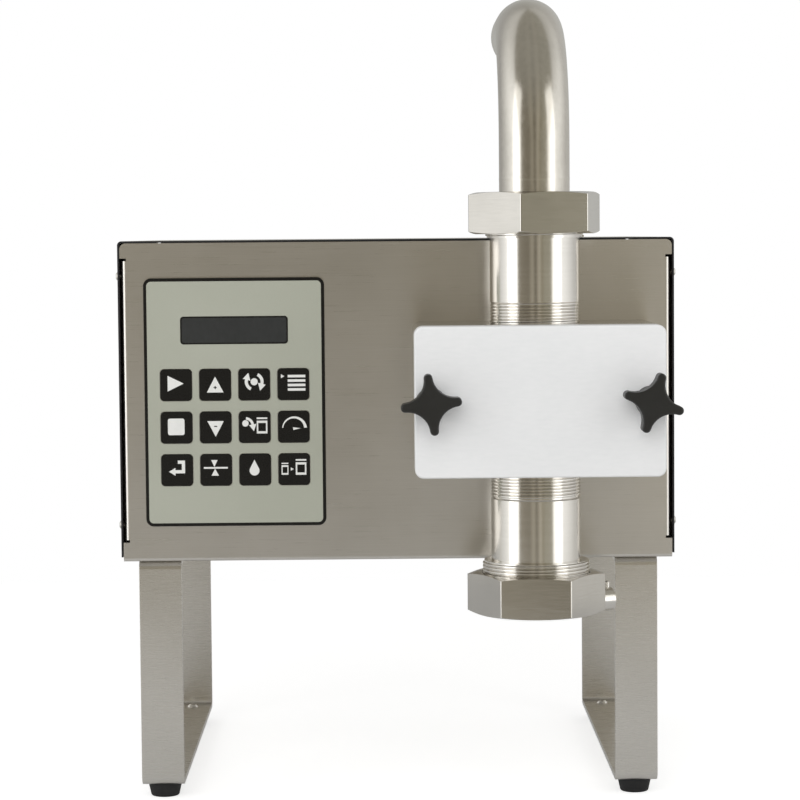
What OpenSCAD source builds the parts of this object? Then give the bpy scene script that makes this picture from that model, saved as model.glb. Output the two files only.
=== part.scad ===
// Honey filling machine: a steel case on two strap legs, with a gear pump on its front.
// Millimetres, +Z up, the user stands at -Y. The origin is on the floor under the middle.

/* [Case] */
// Width over the cover
case_w = 324.4; // [316:0.2:380]
// Height from the underside of the tray to the top of the cover
case_h = 187.6; // [180:0.2:240]
// Depth from the front panel to the rear panel
case_d = 270; // [262:1:330]
// Thickness of the case sheet
sheet_t = 1; // [0.8:0.1:1.8]
// Inside radius of the bends at the tray's floor
bend_inner_r = 1; // [0.5:0.1:3]
// Depth of the tray's side flanges
flange_d = 22; // [18:1:30]
// Inside radius of the side flanges' bends
flange_bend_inner_r = 2.2; // [0.5:0.1:3]
// Height of the relief notch at the end of a side bend
notch_h = 1.5; // [1:0.1:3]
// Distance from the panel's upper edge to the relief notch
notch_top = 8.8; // [6:0.2:14]
// Distance from the panel's lower edge to the relief notch
notch_low = 11.2; // [8:0.2:14]
// Gap between the side flanges and the cover
flange_gap = 0.9; // [0.4:0.1:2]
// Gap between the tray's corner tabs and the cover
tab_gap = 0.3; // [0.2:0.1:0.6]
// Inside radius of the cover's upper corners
cover_inner_r = 1.5; // [0.5:0.1:6]
// How much rounder the tray's upper corners are than the cover's
corner_extra_r = 2; // [0.5:0.1:4]
// Height of the cover's lower edge above the underside of the tray
cover_lift = 2.6; // [2:0.2:5]
// Depth of the black sealing strip on the cover's front edge
seal_d = 2; // [1:0.5:4]
// Head diameter of the cover screws
cover_screw_d = 6; // [4:0.2:8]
// Head height of the cover screws
cover_screw_h = 2.5; // [1:0.1:3]
// Distance of the cover screws from the front and rear panel
cover_screw_in = 13; // [8:1:16]
// Distance of the cover screws from the case's upper and lower edge
cover_screw_edge = 20.5; // [16:0.5:30]

/* [Legs] */
// Width of the leg strap
leg_w = 25; // [20:1:40]
// Thickness of the leg strap
leg_t = 3; // [2:0.5:5]
// Height of the legs without the feet
leg_h = 134; // [100:1:200]
// Inside radius of the strap's bends
leg_bend_inner_r = 2.5; // [1:0.5:8]
// Distance from the case's side to the leg's outer edge
leg_inset = 9.6; // [2:0.2:30]
// Distance from the front panel back to the leg
leg_setback = 5; // [2:0.5:40]
// Distance from the rear panel forward to the leg
leg_rear_setback = 6; // [2:0.5:40]
// Length of the tabs that carry the case
leg_tab = 40; // [25:1:60]
// Upper diameter of the rubber feet
foot_top_d = 20.5; // [14:0.5:22]
// Lower diameter of the rubber feet
foot_bottom_d = 17; // [11:0.5:18]
// Height of the rubber feet
foot_h = 8.5; // [6:0.5:15]
// Distance of the feet from the ends of the legs
foot_inset = 15; // [12:1:40]

/* [Pump] */
// Distance from the case's right side to the pump
pump_margin = 14.1; // [6:0.1:22]
// Height of the pump's middle above the underside of the tray
pump_z = 97.6; // [90:0.2:104]
// Width of the pump
pump_w = 139; // [136:1:146]
// Height of the pump
pump_h = 84; // [82:1:94]
// Depth of the pump's steel body
body_d = 74; // [72:1:90]
// Thickness of the pump's cover plate
cover_t = 16; // [14:1:24]
// Corner radius of the pump
pump_r = 5; // [3:0.5:10]
// Chamfer round the front of the cover plate
cover_chamfer = 1.2; // [0.5:0.1:2]
// Number of teeth on each pump gear
gear_teeth = 12; // [11:1:13]
// Module of the pump gears
gear_module = 3.5; // [3.3:0.1:3.6]
// Width of the pump gears
gear_w = 50; // [40:1:50]
// Diameter of the pump shafts
shaft_d = 14; // [10:0.5:16]
// Outside diameter of the shaft bushes
bush_d = 20; // [18:0.5:24]
// Outside diameter of the shaft seal
seal_ring_d = 28; // [25:0.5:32]
// Length of the shaft seal
seal_l = 7; // [5:0.5:9]
// Depth that the tubes screw into the pump
socket_l = 13; // [8:0.5:14]
// Radius of the ports between the tubes and the gears
port_r = 16; // [12:0.5:16]
// Thickness of the round sealing ring under the cover plate
ring_d = 2.4; // [1.6:0.1:2.6]
// Distance between the two cover studs
stud_spread = 121; // [119:0.5:124]
// Diameter of the cover studs
stud_d = 10; // [8:0.5:10]
// Depth that the studs screw into the pump body
stud_sink = 25; // [15:1:40]
// Diameter over the lobes of the star knobs
knob_d = 33.5; // [30:0.5:36]
// Radius of the star knob's lobe tips
lobe_r = 2.4; // [1.5:0.1:3]
// Thickness of the star knob's grip
knob_grip_h = 13; // [10:0.5:18]
// Diameter of the star knob's hub and waist
knob_hub_d = 17; // [15:0.5:18]
// Height of the star knob's hub
knob_hub_h = 8; // [5:0.5:12]
// Turn of the left star knob at rest
left_knob_turn = 6.5; // [0:0.5:90]
// Turn of the right star knob at rest
right_knob_turn = -17; // [-90:0.5:0]

/* [Pipes] */
// Diameter of the threaded tubes on the pump
tube_d = 51; // [46:0.5:52]
// Bore of the threaded tubes
tube_bore = 44; // [36:0.5:44]
// Distance from the front panel to the axis of the tubes
column_out = 40; // [38:0.5:42]
// Length of the inlet tube between the pump and the nut
inlet_tube_l = 50.4; // [36:0.2:70]
// Length of the outlet tube between the pump and its collar
outlet_tube_l = 51; // [36:0.2:52]
// Length of the thread that shows on the inlet tube
inlet_thread_l = 11.2; // [6:0.2:20]
// Length of the thread that shows on the outlet tube
outlet_thread_l = 15; // [6:0.2:20]
// Pitch of the tube thread
thread_pitch = 1.8; // [1.5:0.1:3]
// Diameter of the inlet tube's collar
inlet_collar_d = 56; // [54:0.5:61]
// Height of the inlet collar that shows under its nut
inlet_collar_show = 2.3; // [1:0.1:6]
// Diameter of the outlet tube's collar
outlet_collar_d = 61; // [55:0.5:61]
// Height of the outlet collar that shows above its nut
outlet_collar_show = 7.1; // [4:0.1:10]
// Pitch of the collar thread
collar_pitch = 1.9; // [1.5:0.1:4]
// Width across the flats of the union nuts
nut_af = 68.5; // [68:0.5:80]
// Height of the union nuts
nut_h = 23.5; // [22:0.5:30]
// Thickness of the outlet nut's lip
lip_t = 10; // [8:0.5:10]
// Bore of the nozzle ring in the outlet nut
nozzle_bore = 40; // [30:0.5:42]
// Wall of the nozzle ring
nozzle_wall = 3.2; // [2:0.1:4]
// Thickness of the flange on the pipe's foot
ferrule_t = 3.6; // [2:0.1:5]
// Length of a collar inside its nut
collar_hold = 8; // [5:0.5:8]
// Turn of the inlet nut at rest
inlet_nut_turn = 16; // [0:0.5:60]
// Turn of the outlet nut at rest
outlet_nut_turn = -3.5; // [-30:0.5:30]
// Outside diameter of the inlet pipe
pipe_d = 40; // [32:0.5:40]
// Wall of the inlet pipe
pipe_wall = 1.5; // [1:0.1:3]
// Height of the pipe's level run above the inlet nut
pipe_rise = 94; // [85:0.1:140]
// Bend radius of the inlet pipe
elbow_r = 65; // [50:0.5:75]
// Length of the pipe from the column to its open end
pipe_run = 94; // [85:0.5:140]
// Diameter of the clamp screw's head
clamp_head_d = 14; // [8:0.5:16]

/* [Keypad] */
// Distance from the case's left side to the keypad
keypad_margin = 14.9; // [6:0.1:30]
// Height of the keypad's middle above the underside of the tray
keypad_z = 93.3; // [90:0.2:100]
// Width of the keypad
keypad_w = 105.4; // [102:0.2:112]
// Height of the keypad
keypad_h = 145.1; // [140:0.2:152]
// Corner radius of the keypad's overlay
overlay_r = 2.6; // [1:0.1:8]
// Width of the black border
border_w = 1.9; // [1:0.1:2.4]
// Thickness of the keypad's black backing
backing_t = 1; // [0.8:0.1:2]
// Thickness of the keypad's overlay
overlay_t = 0.6; // [0.3:0.1:1]
// Height of a key above the overlay
key_proud = 0.3; // [0.1:0.1:1]
// Side of a key
key_side = 18.4; // [15:0.2:20]
// Corner radius of a key
key_r = 2.3; // [1:0.1:4]
// Distance between the key columns
key_pitch_x = 22.8; // [21.5:0.1:24]
// Distance between the key rows
key_pitch_z = 24.9; // [21.5:0.1:25]
// Height of the middle key row above the underside of the tray
key_row_z = 78.7; // [76:0.1:80]
// Travel of a key
key_travel = 0.5; // [0.3:0.1:0.7]
// Width of the display window
window_w = 62.8; // [50:0.2:70]
// Height of the display window
window_h = 16.3; // [12:0.2:18]
// Height of the display's middle above the underside of the tray
window_z = 135.4; // [132:0.2:140]

/* [Drive and electrics] */
// Diameter of the shaft coupling
coupling_d = 28; // [24:1:34]
// Length of the shaft coupling
coupling_l = 28; // [20:1:36]
// Side of the square gearbox
gearbox_side = 78; // [70:1:90]
// Length of the gearbox
gearbox_l = 58; // [45:1:70]
// Diameter of the motor
motor_d = 70; // [55:1:78]
// Length of the motor
motor_l = 96; // [70:1:110]
// Thickness of the motor bracket
bracket_t = 4; // [3:0.5:6]
// Width of the power supply
supply_w = 78; // [60:1:90]
// Depth of the power supply
supply_d = 128; // [90:1:135]
// Height of the power supply
supply_h = 38; // [25:1:50]
// Width of the mains inlet's flange
inlet_w = 31; // [30:0.5:40]
// Height of the mains inlet's flange
inlet_h = 25; // [24:0.5:32]
// Width of the switch frame
switch_w = 15; // [14:0.5:20]
// Height of the switch frame
switch_h = 22; // [20:0.5:28]
// Diameter of the pedal socket's flange
socket_d = 22; // [19:0.5:28]
// Distance from the case's left side to the middle of the mains inlet
inlet_margin = 50.2; // [40:0.1:80]
// Distance between the middles of the mains inlet and the switch
switch_pitch = 36; // [30:1:45]
// Distance between the middles of the switch and the pedal socket
socket_pitch = 30; // [24:1:45]
// Height of the rear fittings above the underside of the tray
rear_row_z = 52; // [30:1:120]

/* [Hidden] */
$fn = 64;

// Overshoot of a cut past the face that it opens
cut = 1;
// Radial play of a shaft that turns in its hole
running_fit = 0.05;
// Length of a screw past the last sheet that it goes through
screw_end = 2;
// Space between faces that move past each other
clear = 0.3;
// Play of a plain screw in its hole, on the diameter
screw_play = 0.4;

// Frame of the case: origin on the front panel, at the middle of the tray's underside
case_z = foot_h + leg_h;
socket_out = 6;
front_reach = body_d + cover_t + knob_hub_h + knob_grip_h;
back_reach = case_d + socket_out;
panel_y = (front_reach - back_reach) / 2;

// Case
tray_h = case_h - sheet_t - tab_gap;
tray_half_w = case_w / 2 - sheet_t - tab_gap;
flange_x = case_w / 2 - sheet_t - flange_gap;
flange_bend_r = flange_bend_inner_r + sheet_t;
band_low = notch_low + notch_h;
band_high = tray_h - notch_top - notch_h;
cover_shank_d = 3;
cover_shank_l = 2 * sheet_t + flange_gap + screw_end;

// Legs
leg_bend_r = leg_bend_inner_r + leg_t;
leg_mid_x = case_w / 2 - leg_inset - leg_w / 2;
leg_d = case_d - leg_setback - leg_rear_setback;
leg_screw_d = 5;
leg_head_d = 9;
leg_head_h = 3;
leg_screw_l = leg_t + sheet_t + screw_end;
leg_screw_in = (leg_bend_r + leg_tab) / 2;
foot_screw_d = 4;
foot_head_d = 7.5;
foot_head_h = 2.2;
foot_edge = 0.6;
foot_floor = 2;
foot_grip = foot_h - foot_floor;

// Pump
pump_x = case_w / 2 - pump_margin - pump_w / 2;
pitch_r = gear_module * gear_teeth / 2;
gear_tip_r = pitch_r + gear_module;
gear_root_r = pitch_r - 1.25 * gear_module;
pressure_angle = 25;
base_r = pitch_r * cos(pressure_angle);
backlash = 0.4;
axis_x = pitch_r + clear / 2;
chamber_r = gear_tip_r + clear;
gear_end_gap = 0.2;
chamber_d = gear_w + 2 * gear_end_gap;
wall_t = body_d - chamber_d;
bush_gap = 0.5;
bush_l = wall_t - seal_l - bush_gap;
shaft_tail = 8.5;
ring_groove_d = ring_d + 2 * running_fit;
ring_land = 1.8;
ring_path_r = chamber_r + ring_d / 2 + ring_land;
knob_cap_t = 4;
stud_end_gap = 1;
stud_out = cover_t + knob_hub_h + knob_grip_h - knob_cap_t - stud_end_gap;
stud_l = stud_sink + stud_out;
bolt_d = 6;
bolt_head_d = 10;
bolt_head_h = 5;
bolt_sink = 14;
bolt_end_gap = 1;
bolt_l = sheet_t + bolt_sink - bolt_end_gap;
bolt_inset = 12;
hole_margin = 1;
panel_hole_d = seal_ring_d + 2 * hole_margin;
front_face = -body_d;
plate_face = -body_d - cover_t;

// Star knob: round lobe tips and hollow arcs between them
waist_r = knob_hub_d / 2;
lobe_at = knob_d / 2 - lobe_r;
hollow_at = (lobe_at * lobe_at + lobe_r * lobe_r - waist_r * waist_r)
    / (sqrt(2) * (lobe_at + lobe_r) - 2 * waist_r);
hollow_r = hollow_at - waist_r;

// Pipes, from the pump's middle along the column
tube_r = tube_d / 2;
thread_depth = 0.8;
collar_depth = 0.9;
collar_rim = 1;
body_top = pump_h / 2;
inlet_nut_z = body_top + inlet_tube_l;
outlet_nut_z = -body_top - outlet_tube_l - outlet_collar_show - nut_h;
gasket_t = 2;
gasket_inset = 1.5;
ferrule_d = inlet_collar_d - 2 * gasket_inset;
outlet_flange_d = outlet_collar_d - 2 * gasket_inset;
nut_chamfer_slope = tan(14);
nut_land = 0.75;
nut_face_d = nut_af - 2 * nut_land;
lip_d = nozzle_bore + 2 * nozzle_wall + 2 * clear;
nozzle_flange_t = nut_h - lip_t - collar_hold - gasket_t - clear;
nozzle_neck_d = nozzle_bore + 2 * nozzle_wall;
pipe_r = pipe_d / 2;
ferrule_z = inlet_nut_z + collar_hold + gasket_t;
level_z = inlet_nut_z + nut_h + pipe_rise;
clamp_turn = 30 + outlet_nut_turn;
clamp_rise = 4.2;
clamp_z = outlet_nut_z + clamp_rise;
clamp_shank_d = 6;
clamp_edge = 1.2;
clamp_tip_gap = 1;
clamp_neck = 4;
clamp_from = lip_d / 2 + clamp_tip_gap;
clamp_head_from = nut_af / 2 + clamp_neck;
clamp_head_l = 12;
clamp_pin_d = 3.2;
clamp_pin_out = 3.7;
clamp_pin_in = 3.2;

// Keypad
keypad_x = -case_w / 2 + keypad_margin + keypad_w / 2;
keypad_r = overlay_r + border_w;
key_stop = 0.1;
key_t = backing_t + overlay_t + key_proud - key_travel - key_stop;
key_gap = 0.3;
window_r = 2;
window_margin = 1;
KEY_COLUMNS = 4;
KEY_ROWS = 3;

// Drive
drive_x = pump_x - axis_x;
drive_gap = 4;
coupling_y = sheet_t + bolt_head_h + drive_gap;
bracket_y = coupling_y + coupling_l + drive_gap;
gearbox_y = bracket_y + bracket_t;
motor_y = gearbox_y + gearbox_l;
joint_y = coupling_y + coupling_l / 2;
motor_cap_l = 12;
motor_cap_lap = 1.5;
brush_cap_d = 14;
brush_cap_out = 4;
gearbox_bore_l = 24;
boss_d = 34;
bracket_foot_d = 52;
gearbox_r = 6;
gearbox_screw_in = 9;
gearbox_screw_at = gearbox_side / 2 - gearbox_screw_in;
gearbox_screw_l = 10;
bracket_edge = 6;
bracket_screw_x = 24;
bracket_screw_y = 36;
boss_play = 0.1;
small_screw_d = 5;
small_head_d = 8.5;
small_head_h = 3;

// Boards behind the keypad
board_t = 1.6;
spacer_d = 5;
spacer_inset = spacer_d / 2 + 1;
bezel_margin = 4;
bezel_r = 1.5;
display_bezel_w = window_w + 2 * bezel_margin;
display_bezel_h = window_h + 2 * bezel_margin;
display_board_w = display_bezel_w + 2 * spacer_d;
display_board_h = display_bezel_h + 2 * (spacer_d + 2 * spacer_inset - spacer_d / 2);
display_y = sheet_t + clear;
display_bezel_t = 6.5;
control_edge = 8;
control_w = (KEY_COLUMNS - 1) * key_pitch_x + key_side + 2 * spacer_inset;
control_h = (KEY_ROWS - 1) * key_pitch_z + 2 * control_edge;
spacer_l = 10;
control_y = sheet_t + spacer_l;
relay = [19, 15, 15];
relay_pitch = 26;
capacitor_d = 12;
capacitor_l = 18;
capacitor_x = 22;

// Power supply and the terminal strip on its front
supply_behind = 40;
terminal_d = 14;
terminal_h = 17;

// Rear fittings
inlet_x = -case_w / 2 + inlet_margin;
switch_x = inlet_x + switch_pitch;
socket_x = switch_x + socket_pitch;
flange_lap = 2;
body_play = 0.2;
mouth_wall = 1.5;
mouth_corner = 4;
mouth_w = inlet_w - 2 * (flange_lap + mouth_wall);
mouth_h = inlet_h - 2 * (flange_lap + mouth_wall);
inlet_flange_t = 3;
inlet_flange_r = 2;
inlet_body_l = 20;
inlet_floor_t = 3;
pin_sink = 2;
inlet_pin = [2, 4];
INLET_PINS = [[-7, -2], [0, 2], [7, -2]];
switch_lap = 1;
switch_frame_t = 2;
switch_frame_r = 1;
switch_body_l = 18;
switch_well_d = 14;
switch_rim = 3;
rocker_half = switch_h / 2 - switch_rim;
rocker_w = switch_w - 2 * (switch_rim - body_play);
rocker_tilt = 8;
rocker_out = 4.5;
rocker_in = 7;
socket_flange_t = 2.5;
socket_body_l = 14;
socket_well_d = 8;
socket_wall = 5;
socket_well_r = socket_d / 2 - socket_wall;
contact_d = 1.4;
contact_l = 6;
contact_r = socket_well_r / 2;
CONTACTS = 5;

// Colours
steel = "#a8a296";
bright_steel = "#bdb9b0";
dark_plastic = "#2b2b2b";
rubber_black = "#1c1c1c";
white_plastic = "#e4e4e2";
panel_green = "#acaea0";
board_green = "#2f6b45";
grey_metal = "#8b8d90";
brass = "#b89a5a";
seal_brown = "#5a3d2b";
smoked = "#20262a";

// Shared shapes

module case_frame() {
    translate([0, panel_y, case_z]) children();
}

module pump_frame() {
    translate([pump_x, panel_y, case_z + pump_z]) children();
}

module column_frame() {
    translate([pump_x, panel_y - column_out, case_z + pump_z]) children();
}

module drive_frame() {
    translate([drive_x, panel_y, case_z + pump_z]) children();
}

// A flat outline in X and Z, made solid between two places along Y
module along_y(from, to) {
    translate([0, to, 0]) rotate([90, 0, 0]) linear_extrude(height = to - from) children();
}

// A flat outline in Y and Z, made solid across X about the middle
module across_x(width) {
    rotate([90, 0, 90]) linear_extrude(height = width, center = true) children();
}

// A round bar between two places along Y
module bar_y(d, from, to) {
    translate([0, to, 0]) rotate([90, 0, 0]) cylinder(d = d, h = to - from);
}

module round_rect(w, h, r) {
    translate([-w / 2 + r, -h / 2]) square([w - 2 * r, h]);
    translate([-w / 2, -h / 2 + r]) square([w, h - 2 * r]);
    for (x = [-1, 1], y = [-1, 1])
        translate([x * (w / 2 - r), y * (h / 2 - r)]) circle(r);
}

// A strap bent to a rectangle that is open along the top
module bent_loop(depth, height, t, r, opening) {
    translate([depth / 2, height / 2]) difference() {
        round_rect(depth, height, r);
        round_rect(depth - 2 * t, height - 2 * t, r - t);
        translate([-opening / 2, 0]) square([opening, height]);
    }
}

// An arch with round upper corners, standing on its base line
module arch(w, h, r) {
    translate([-w / 2, 0]) square([w, h - r]);
    translate([-w / 2 + r, 0]) square([w - 2 * r, h]);
    for (x = [-1, 1])
        translate([x * (w / 2 - r), h - r]) circle(r);
}

// A sheet bent to a channel that is open at its base line
module channel(w, h, t, inner_r) {
    difference() {
        arch(w, h, inner_r + t);
        translate([0, -cut]) arch(w - 2 * t, h - t + cut, inner_r);
    }
}

// A dome head on the XY plane with its shank below
module dome_screw(head_d, head_h, shank_d, shank_l) {
    dome_r = (head_d * head_d / 4 + head_h * head_h) / (2 * head_h);
    rotate_extrude() intersection() {
        translate([0, head_h - dome_r]) circle(dome_r);
        square([head_d / 2, head_h]);
    }
    translate([0, 0, -shank_l]) cylinder(d = shank_d, h = shank_l);
}

module washer(outer_d, inner_d, h) {
    difference() {
        cylinder(d = outer_d, h = h);
        translate([0, 0, -cut]) cylinder(d = inner_d, h = h + 2 * cut);
    }
}

// Case

module at_cover_screws() {
    for (side = [-1, 1], y = [cover_screw_in, case_d - cover_screw_in],
            z = [cover_screw_edge, case_h - cover_screw_edge])
        translate([side * case_w / 2, y, z]) rotate([0, side * 90, 0]) children();
}

module at_leg_screws() {
    for (side = [-1, 1], y = [leg_screw_in, leg_d - leg_screw_in])
        translate([side * leg_mid_x, leg_setback + y, 0]) children();
}

module at_pump_bolts() {
    for (x = [-1, 1], z = [-1, 1])
        translate([x * (pump_w / 2 - bolt_inset), 0, z * (pump_h / 2 - bolt_inset)]) children();
}

// A panel between its relief notches: the flat middle with a bent flange at each side
module flanged_panel() {
    translate([0, flange_d, band_low]) linear_extrude(height = band_high - band_low)
        mirror([0, 1]) channel(2 * flange_x, flange_d, sheet_t, flange_bend_inner_r);
}

module front_cutouts() {
    translate([keypad_x, 0, window_z]) along_y(-cut, sheet_t + cut)
        square([window_w + 2 * window_margin, window_h + 2 * window_margin], center = true);
    translate([pump_x, 0, pump_z]) at_pump_bolts() bar_y(bolt_d + screw_play, -cut, sheet_t + cut);
    translate([drive_x, 0, pump_z]) bar_y(panel_hole_d, -cut, sheet_t + cut);
}

module rear_cutouts() {
    translate([0, case_d, rear_row_z]) {
        translate([inlet_x, 0, 0]) along_y(-sheet_t - cut, cut)
            square([inlet_w - 2 * flange_lap, inlet_h - 2 * flange_lap], center = true);
        translate([switch_x, 0, 0]) along_y(-sheet_t - cut, cut)
            square([switch_w - 2 * switch_lap, switch_h - 2 * switch_lap], center = true);
        translate([socket_x, 0, 0]) bar_y(socket_d - 2 * flange_lap, -sheet_t - cut, cut);
    }
}

module floor_holes() {
    at_leg_screws() translate([0, 0, -cut]) cylinder(d = leg_screw_d + screw_play, h = sheet_t + 2 * cut);
    at_bracket_screws() translate([0, 0, -cut])
        cylinder(d = small_screw_d + screw_play, h = sheet_t + 2 * cut);
}

// The tray's floor and panels, with the panels' edges cut away beside the side bends
module tray_loop() {
    edge_cut = flange_x - flange_bend_r;
    difference() {
        intersection() {
            across_x(case_w) translate([case_d / 2, tray_h]) mirror([0, 1])
                channel(case_d, tray_h, sheet_t, bend_inner_r);
            along_y(-cut, case_d + cut) arch(2 * tray_half_w, tray_h, cover_inner_r + corner_extra_r);
        }
        for (side = [-1, 1], y = [-cut, case_d - flange_bend_r])
            translate([side > 0 ? edge_cut : -edge_cut - case_w, y, notch_low])
                cube([case_w, flange_bend_r + cut, tray_h - notch_low - notch_top]);
    }
}

module chassis_tray() {
    color(steel) case_frame() difference() {
        union() {
            tray_loop();
            flanged_panel();
            translate([0, case_d, 0]) mirror([0, 1, 0]) flanged_panel();
        }
        front_cutouts();
        rear_cutouts();
        floor_holes();
        at_cover_screws() translate([0, 0, -cover_shank_l - cut])
            cylinder(d = cover_shank_d + screw_play, h = cover_shank_l + 2 * cut);
    }
}

// The cover's section with its round upper corners
module cover_section() {
    translate([0, cover_lift]) channel(case_w, case_h - cover_lift, sheet_t, cover_inner_r);
}

module top_cover() {
    color(steel) case_frame() difference() {
        along_y(seal_d, case_d) cover_section();
        at_cover_screws() translate([0, 0, -cover_shank_l])
            cylinder(d = cover_shank_d + screw_play, h = cover_shank_l + cut);
    }
}

module cover_seal() {
    color(rubber_black) case_frame() along_y(0, seal_d) cover_section();
}

module cover_screws() {
    color(bright_steel) case_frame() at_cover_screws()
        dome_screw(cover_screw_d, cover_screw_h, cover_shank_d, cover_shank_l);
}

// Legs

module leg(side) {
    color(bright_steel) translate([side * leg_mid_x, panel_y + leg_setback, foot_h]) difference() {
        across_x(leg_w) bent_loop(leg_d, leg_h, leg_t, leg_bend_r, leg_d - 2 * leg_tab);
        for (y = [leg_screw_in, leg_d - leg_screw_in])
            translate([0, y, leg_h - leg_t - cut])
                cylinder(d = leg_screw_d + screw_play, h = leg_t + 2 * cut);
        for (y = [foot_inset, leg_d - foot_inset])
            translate([0, y, -cut]) cylinder(d = foot_screw_d + screw_play, h = leg_t + 2 * cut);
    }
}

module left_leg() {
    leg(-1);
}

module right_leg() {
    leg(1);
}

module leg_screws() {
    color(bright_steel) case_frame() at_leg_screws() translate([0, 0, -leg_t]) mirror([0, 0, 1])
        dome_screw(leg_head_d, leg_head_h, leg_screw_d, leg_screw_l);
}

module at_feet() {
    for (side = [-1, 1], y = [foot_inset, leg_d - foot_inset])
        translate([side * leg_mid_x, panel_y + leg_setback + y, 0]) children();
}

module rubber_feet() {
    color(rubber_black) at_feet() difference() {
        rotate_extrude() polygon([[0, 0], [foot_bottom_d / 2 - foot_edge, 0], [foot_bottom_d / 2, foot_edge],
            [foot_top_d / 2, foot_h], [0, foot_h]]);
        translate([0, 0, foot_h - foot_grip]) cylinder(d = foot_screw_d, h = foot_grip + cut);
    }
}

module foot_screws() {
    color(grey_metal) at_feet() translate([0, 0, foot_h + leg_t])
        dome_screw(foot_head_d, foot_head_h, foot_screw_d, leg_t + foot_grip);
}

// Pump

module at_studs() {
    for (side = [-1, 1])
        translate([side * stud_spread / 2, 0, 0]) children();
}

module pump_outline() {
    round_rect(pump_w, pump_h, pump_r);
}

// The closed track round both gear chambers, swept by a section placed at its path radius
module ring_track() {
    for (side = [0, 1])
        mirror([side, 0, 0]) translate([axis_x, 0, 0]) rotate([0, 0, -90])
            rotate_extrude(angle = 180) translate([ring_path_r, 0]) children();
    for (side = [-1, 1])
        translate([0, side * ring_path_r, 0]) rotate([90, 0, 90])
            linear_extrude(height = 2 * axis_x, center = true) children();
}

module pump_body() {
    color(bright_steel) pump_frame() difference() {
        along_y(front_face, 0) pump_outline();
        for (side = [-1, 1])
            translate([side * axis_x, 0, 0]) bar_y(2 * chamber_r, front_face - cut, -wall_t);
        translate([0, -column_out, -body_top - cut]) cylinder(r = port_r, h = pump_h + 2 * cut);
        for (end = [0, 1])
            mirror([0, 0, end]) translate([0, -column_out, body_top - socket_l])
                cylinder(r = tube_r, h = socket_l + cut);
        at_studs() bar_y(stud_d, front_face - cut, front_face + stud_sink);
        at_pump_bolts() bar_y(bolt_d, -bolt_sink, cut);
        for (side = [-1, 1])
            translate([side * axis_x, 0, 0]) bar_y(bush_d, -wall_t - cut, -wall_t + bush_l);
        translate([-axis_x, 0, 0]) bar_y(seal_ring_d, -seal_l, cut);
        translate([-axis_x, 0, 0]) bar_y(shaft_d + 2 * hole_margin, -wall_t, 0);
        translate([0, front_face, 0]) rotate([90, 0, 0])
            ring_track() translate([-ring_d / 2, -ring_groove_d]) square([ring_d, ring_groove_d + cut]);
    }
}

module pump_bolts() {
    color(grey_metal) pump_frame() at_pump_bolts() translate([0, sheet_t, 0]) rotate([-90, 0, 0]) {
        cylinder(d = bolt_head_d, h = bolt_head_h);
        translate([0, 0, -bolt_l]) cylinder(d = bolt_d, h = bolt_l);
    }
}

// A plate with a chamfer round its front edge, from z 0 to z t
module chamfered_plate(w, h, t, r, c) {
    linear_extrude(height = t - c) round_rect(w, h, r);
    translate([0, 0, t - c]) {
        rotate([90, 0, 90]) linear_extrude(height = w - 2 * r, center = true)
            polygon([[-h / 2, 0], [h / 2, 0], [h / 2 - c, c], [-h / 2 + c, c]]);
        rotate([90, 0, 0]) linear_extrude(height = h - 2 * r, center = true)
            polygon([[-w / 2, 0], [w / 2, 0], [w / 2 - c, c], [-w / 2 + c, c]]);
        for (x = [-1, 1], y = [-1, 1])
            translate([x * (w / 2 - r), y * (h / 2 - r), 0]) cylinder(r1 = r, r2 = r - c, h = c);
    }
}

module pump_cover() {
    color(white_plastic) pump_frame() difference() {
        translate([0, front_face, 0]) rotate([90, 0, 0])
            chamfered_plate(pump_w, pump_h, cover_t, pump_r, cover_chamfer);
        at_studs() bar_y(stud_d + 2 * clear, plate_face - cut, front_face + cut);
        for (side = [-1, 1])
            translate([side * axis_x, 0, 0])
                bar_y(shaft_d + 2 * running_fit, front_face - shaft_tail - clear, front_face + cut);
    }
}

module cover_ring() {
    color(rubber_black) pump_frame() translate([0, front_face, 0]) rotate([90, 0, 0])
        ring_track() translate([0, -ring_groove_d + ring_d / 2]) circle(d = ring_d);
}

module cover_studs() {
    color(bright_steel) pump_frame() at_studs()
        bar_y(stud_d, front_face + stud_sink - stud_l, front_face + stud_sink);
}

module star() {
    difference() {
        circle(lobe_at);
        for (i = [0:3])
            rotate(45 + 90 * i) translate([hollow_at, 0]) circle(hollow_r);
    }
    for (i = [0:3])
        rotate(90 * i) translate([lobe_at, 0]) circle(lobe_r);
}

module star_knob(side, turn) {
    color(dark_plastic) pump_frame() translate([side * stud_spread / 2, plate_face, 0])
        rotate([90, 0, 0]) rotate([0, 0, turn]) difference() {
            union() {
                cylinder(d = knob_hub_d, h = knob_hub_h);
                translate([0, 0, knob_hub_h]) linear_extrude(height = knob_grip_h) star();
            }
            translate([0, 0, -cut]) cylinder(d = stud_d + 2 * running_fit,
                h = cut + knob_hub_h + knob_grip_h - knob_cap_t);
        }
}

module left_knob() {
    star_knob(-1, left_knob_turn);
}

module right_knob() {
    star_knob(1, right_knob_turn);
}

// Angle in degrees that an involute has turned through at radius r
function involute_turn(r) =
    let (a = acos(base_r / r)) tan(a) * 180 / PI - a;

// Half the angle that a tooth takes up at radius r
function half_tooth(r) =
    (PI * gear_module / 2 - backlash) / (2 * pitch_r) * 180 / PI
        + involute_turn(pitch_r) - involute_turn(max(r, base_r));

FLANK_STEPS = 5;
flank_low = max(base_r, gear_root_r);
function flank_radius(i) = flank_low + (gear_tip_r - flank_low) * i / FLANK_STEPS;

function spot(r, a) = [r * cos(a), r * sin(a)];

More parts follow.
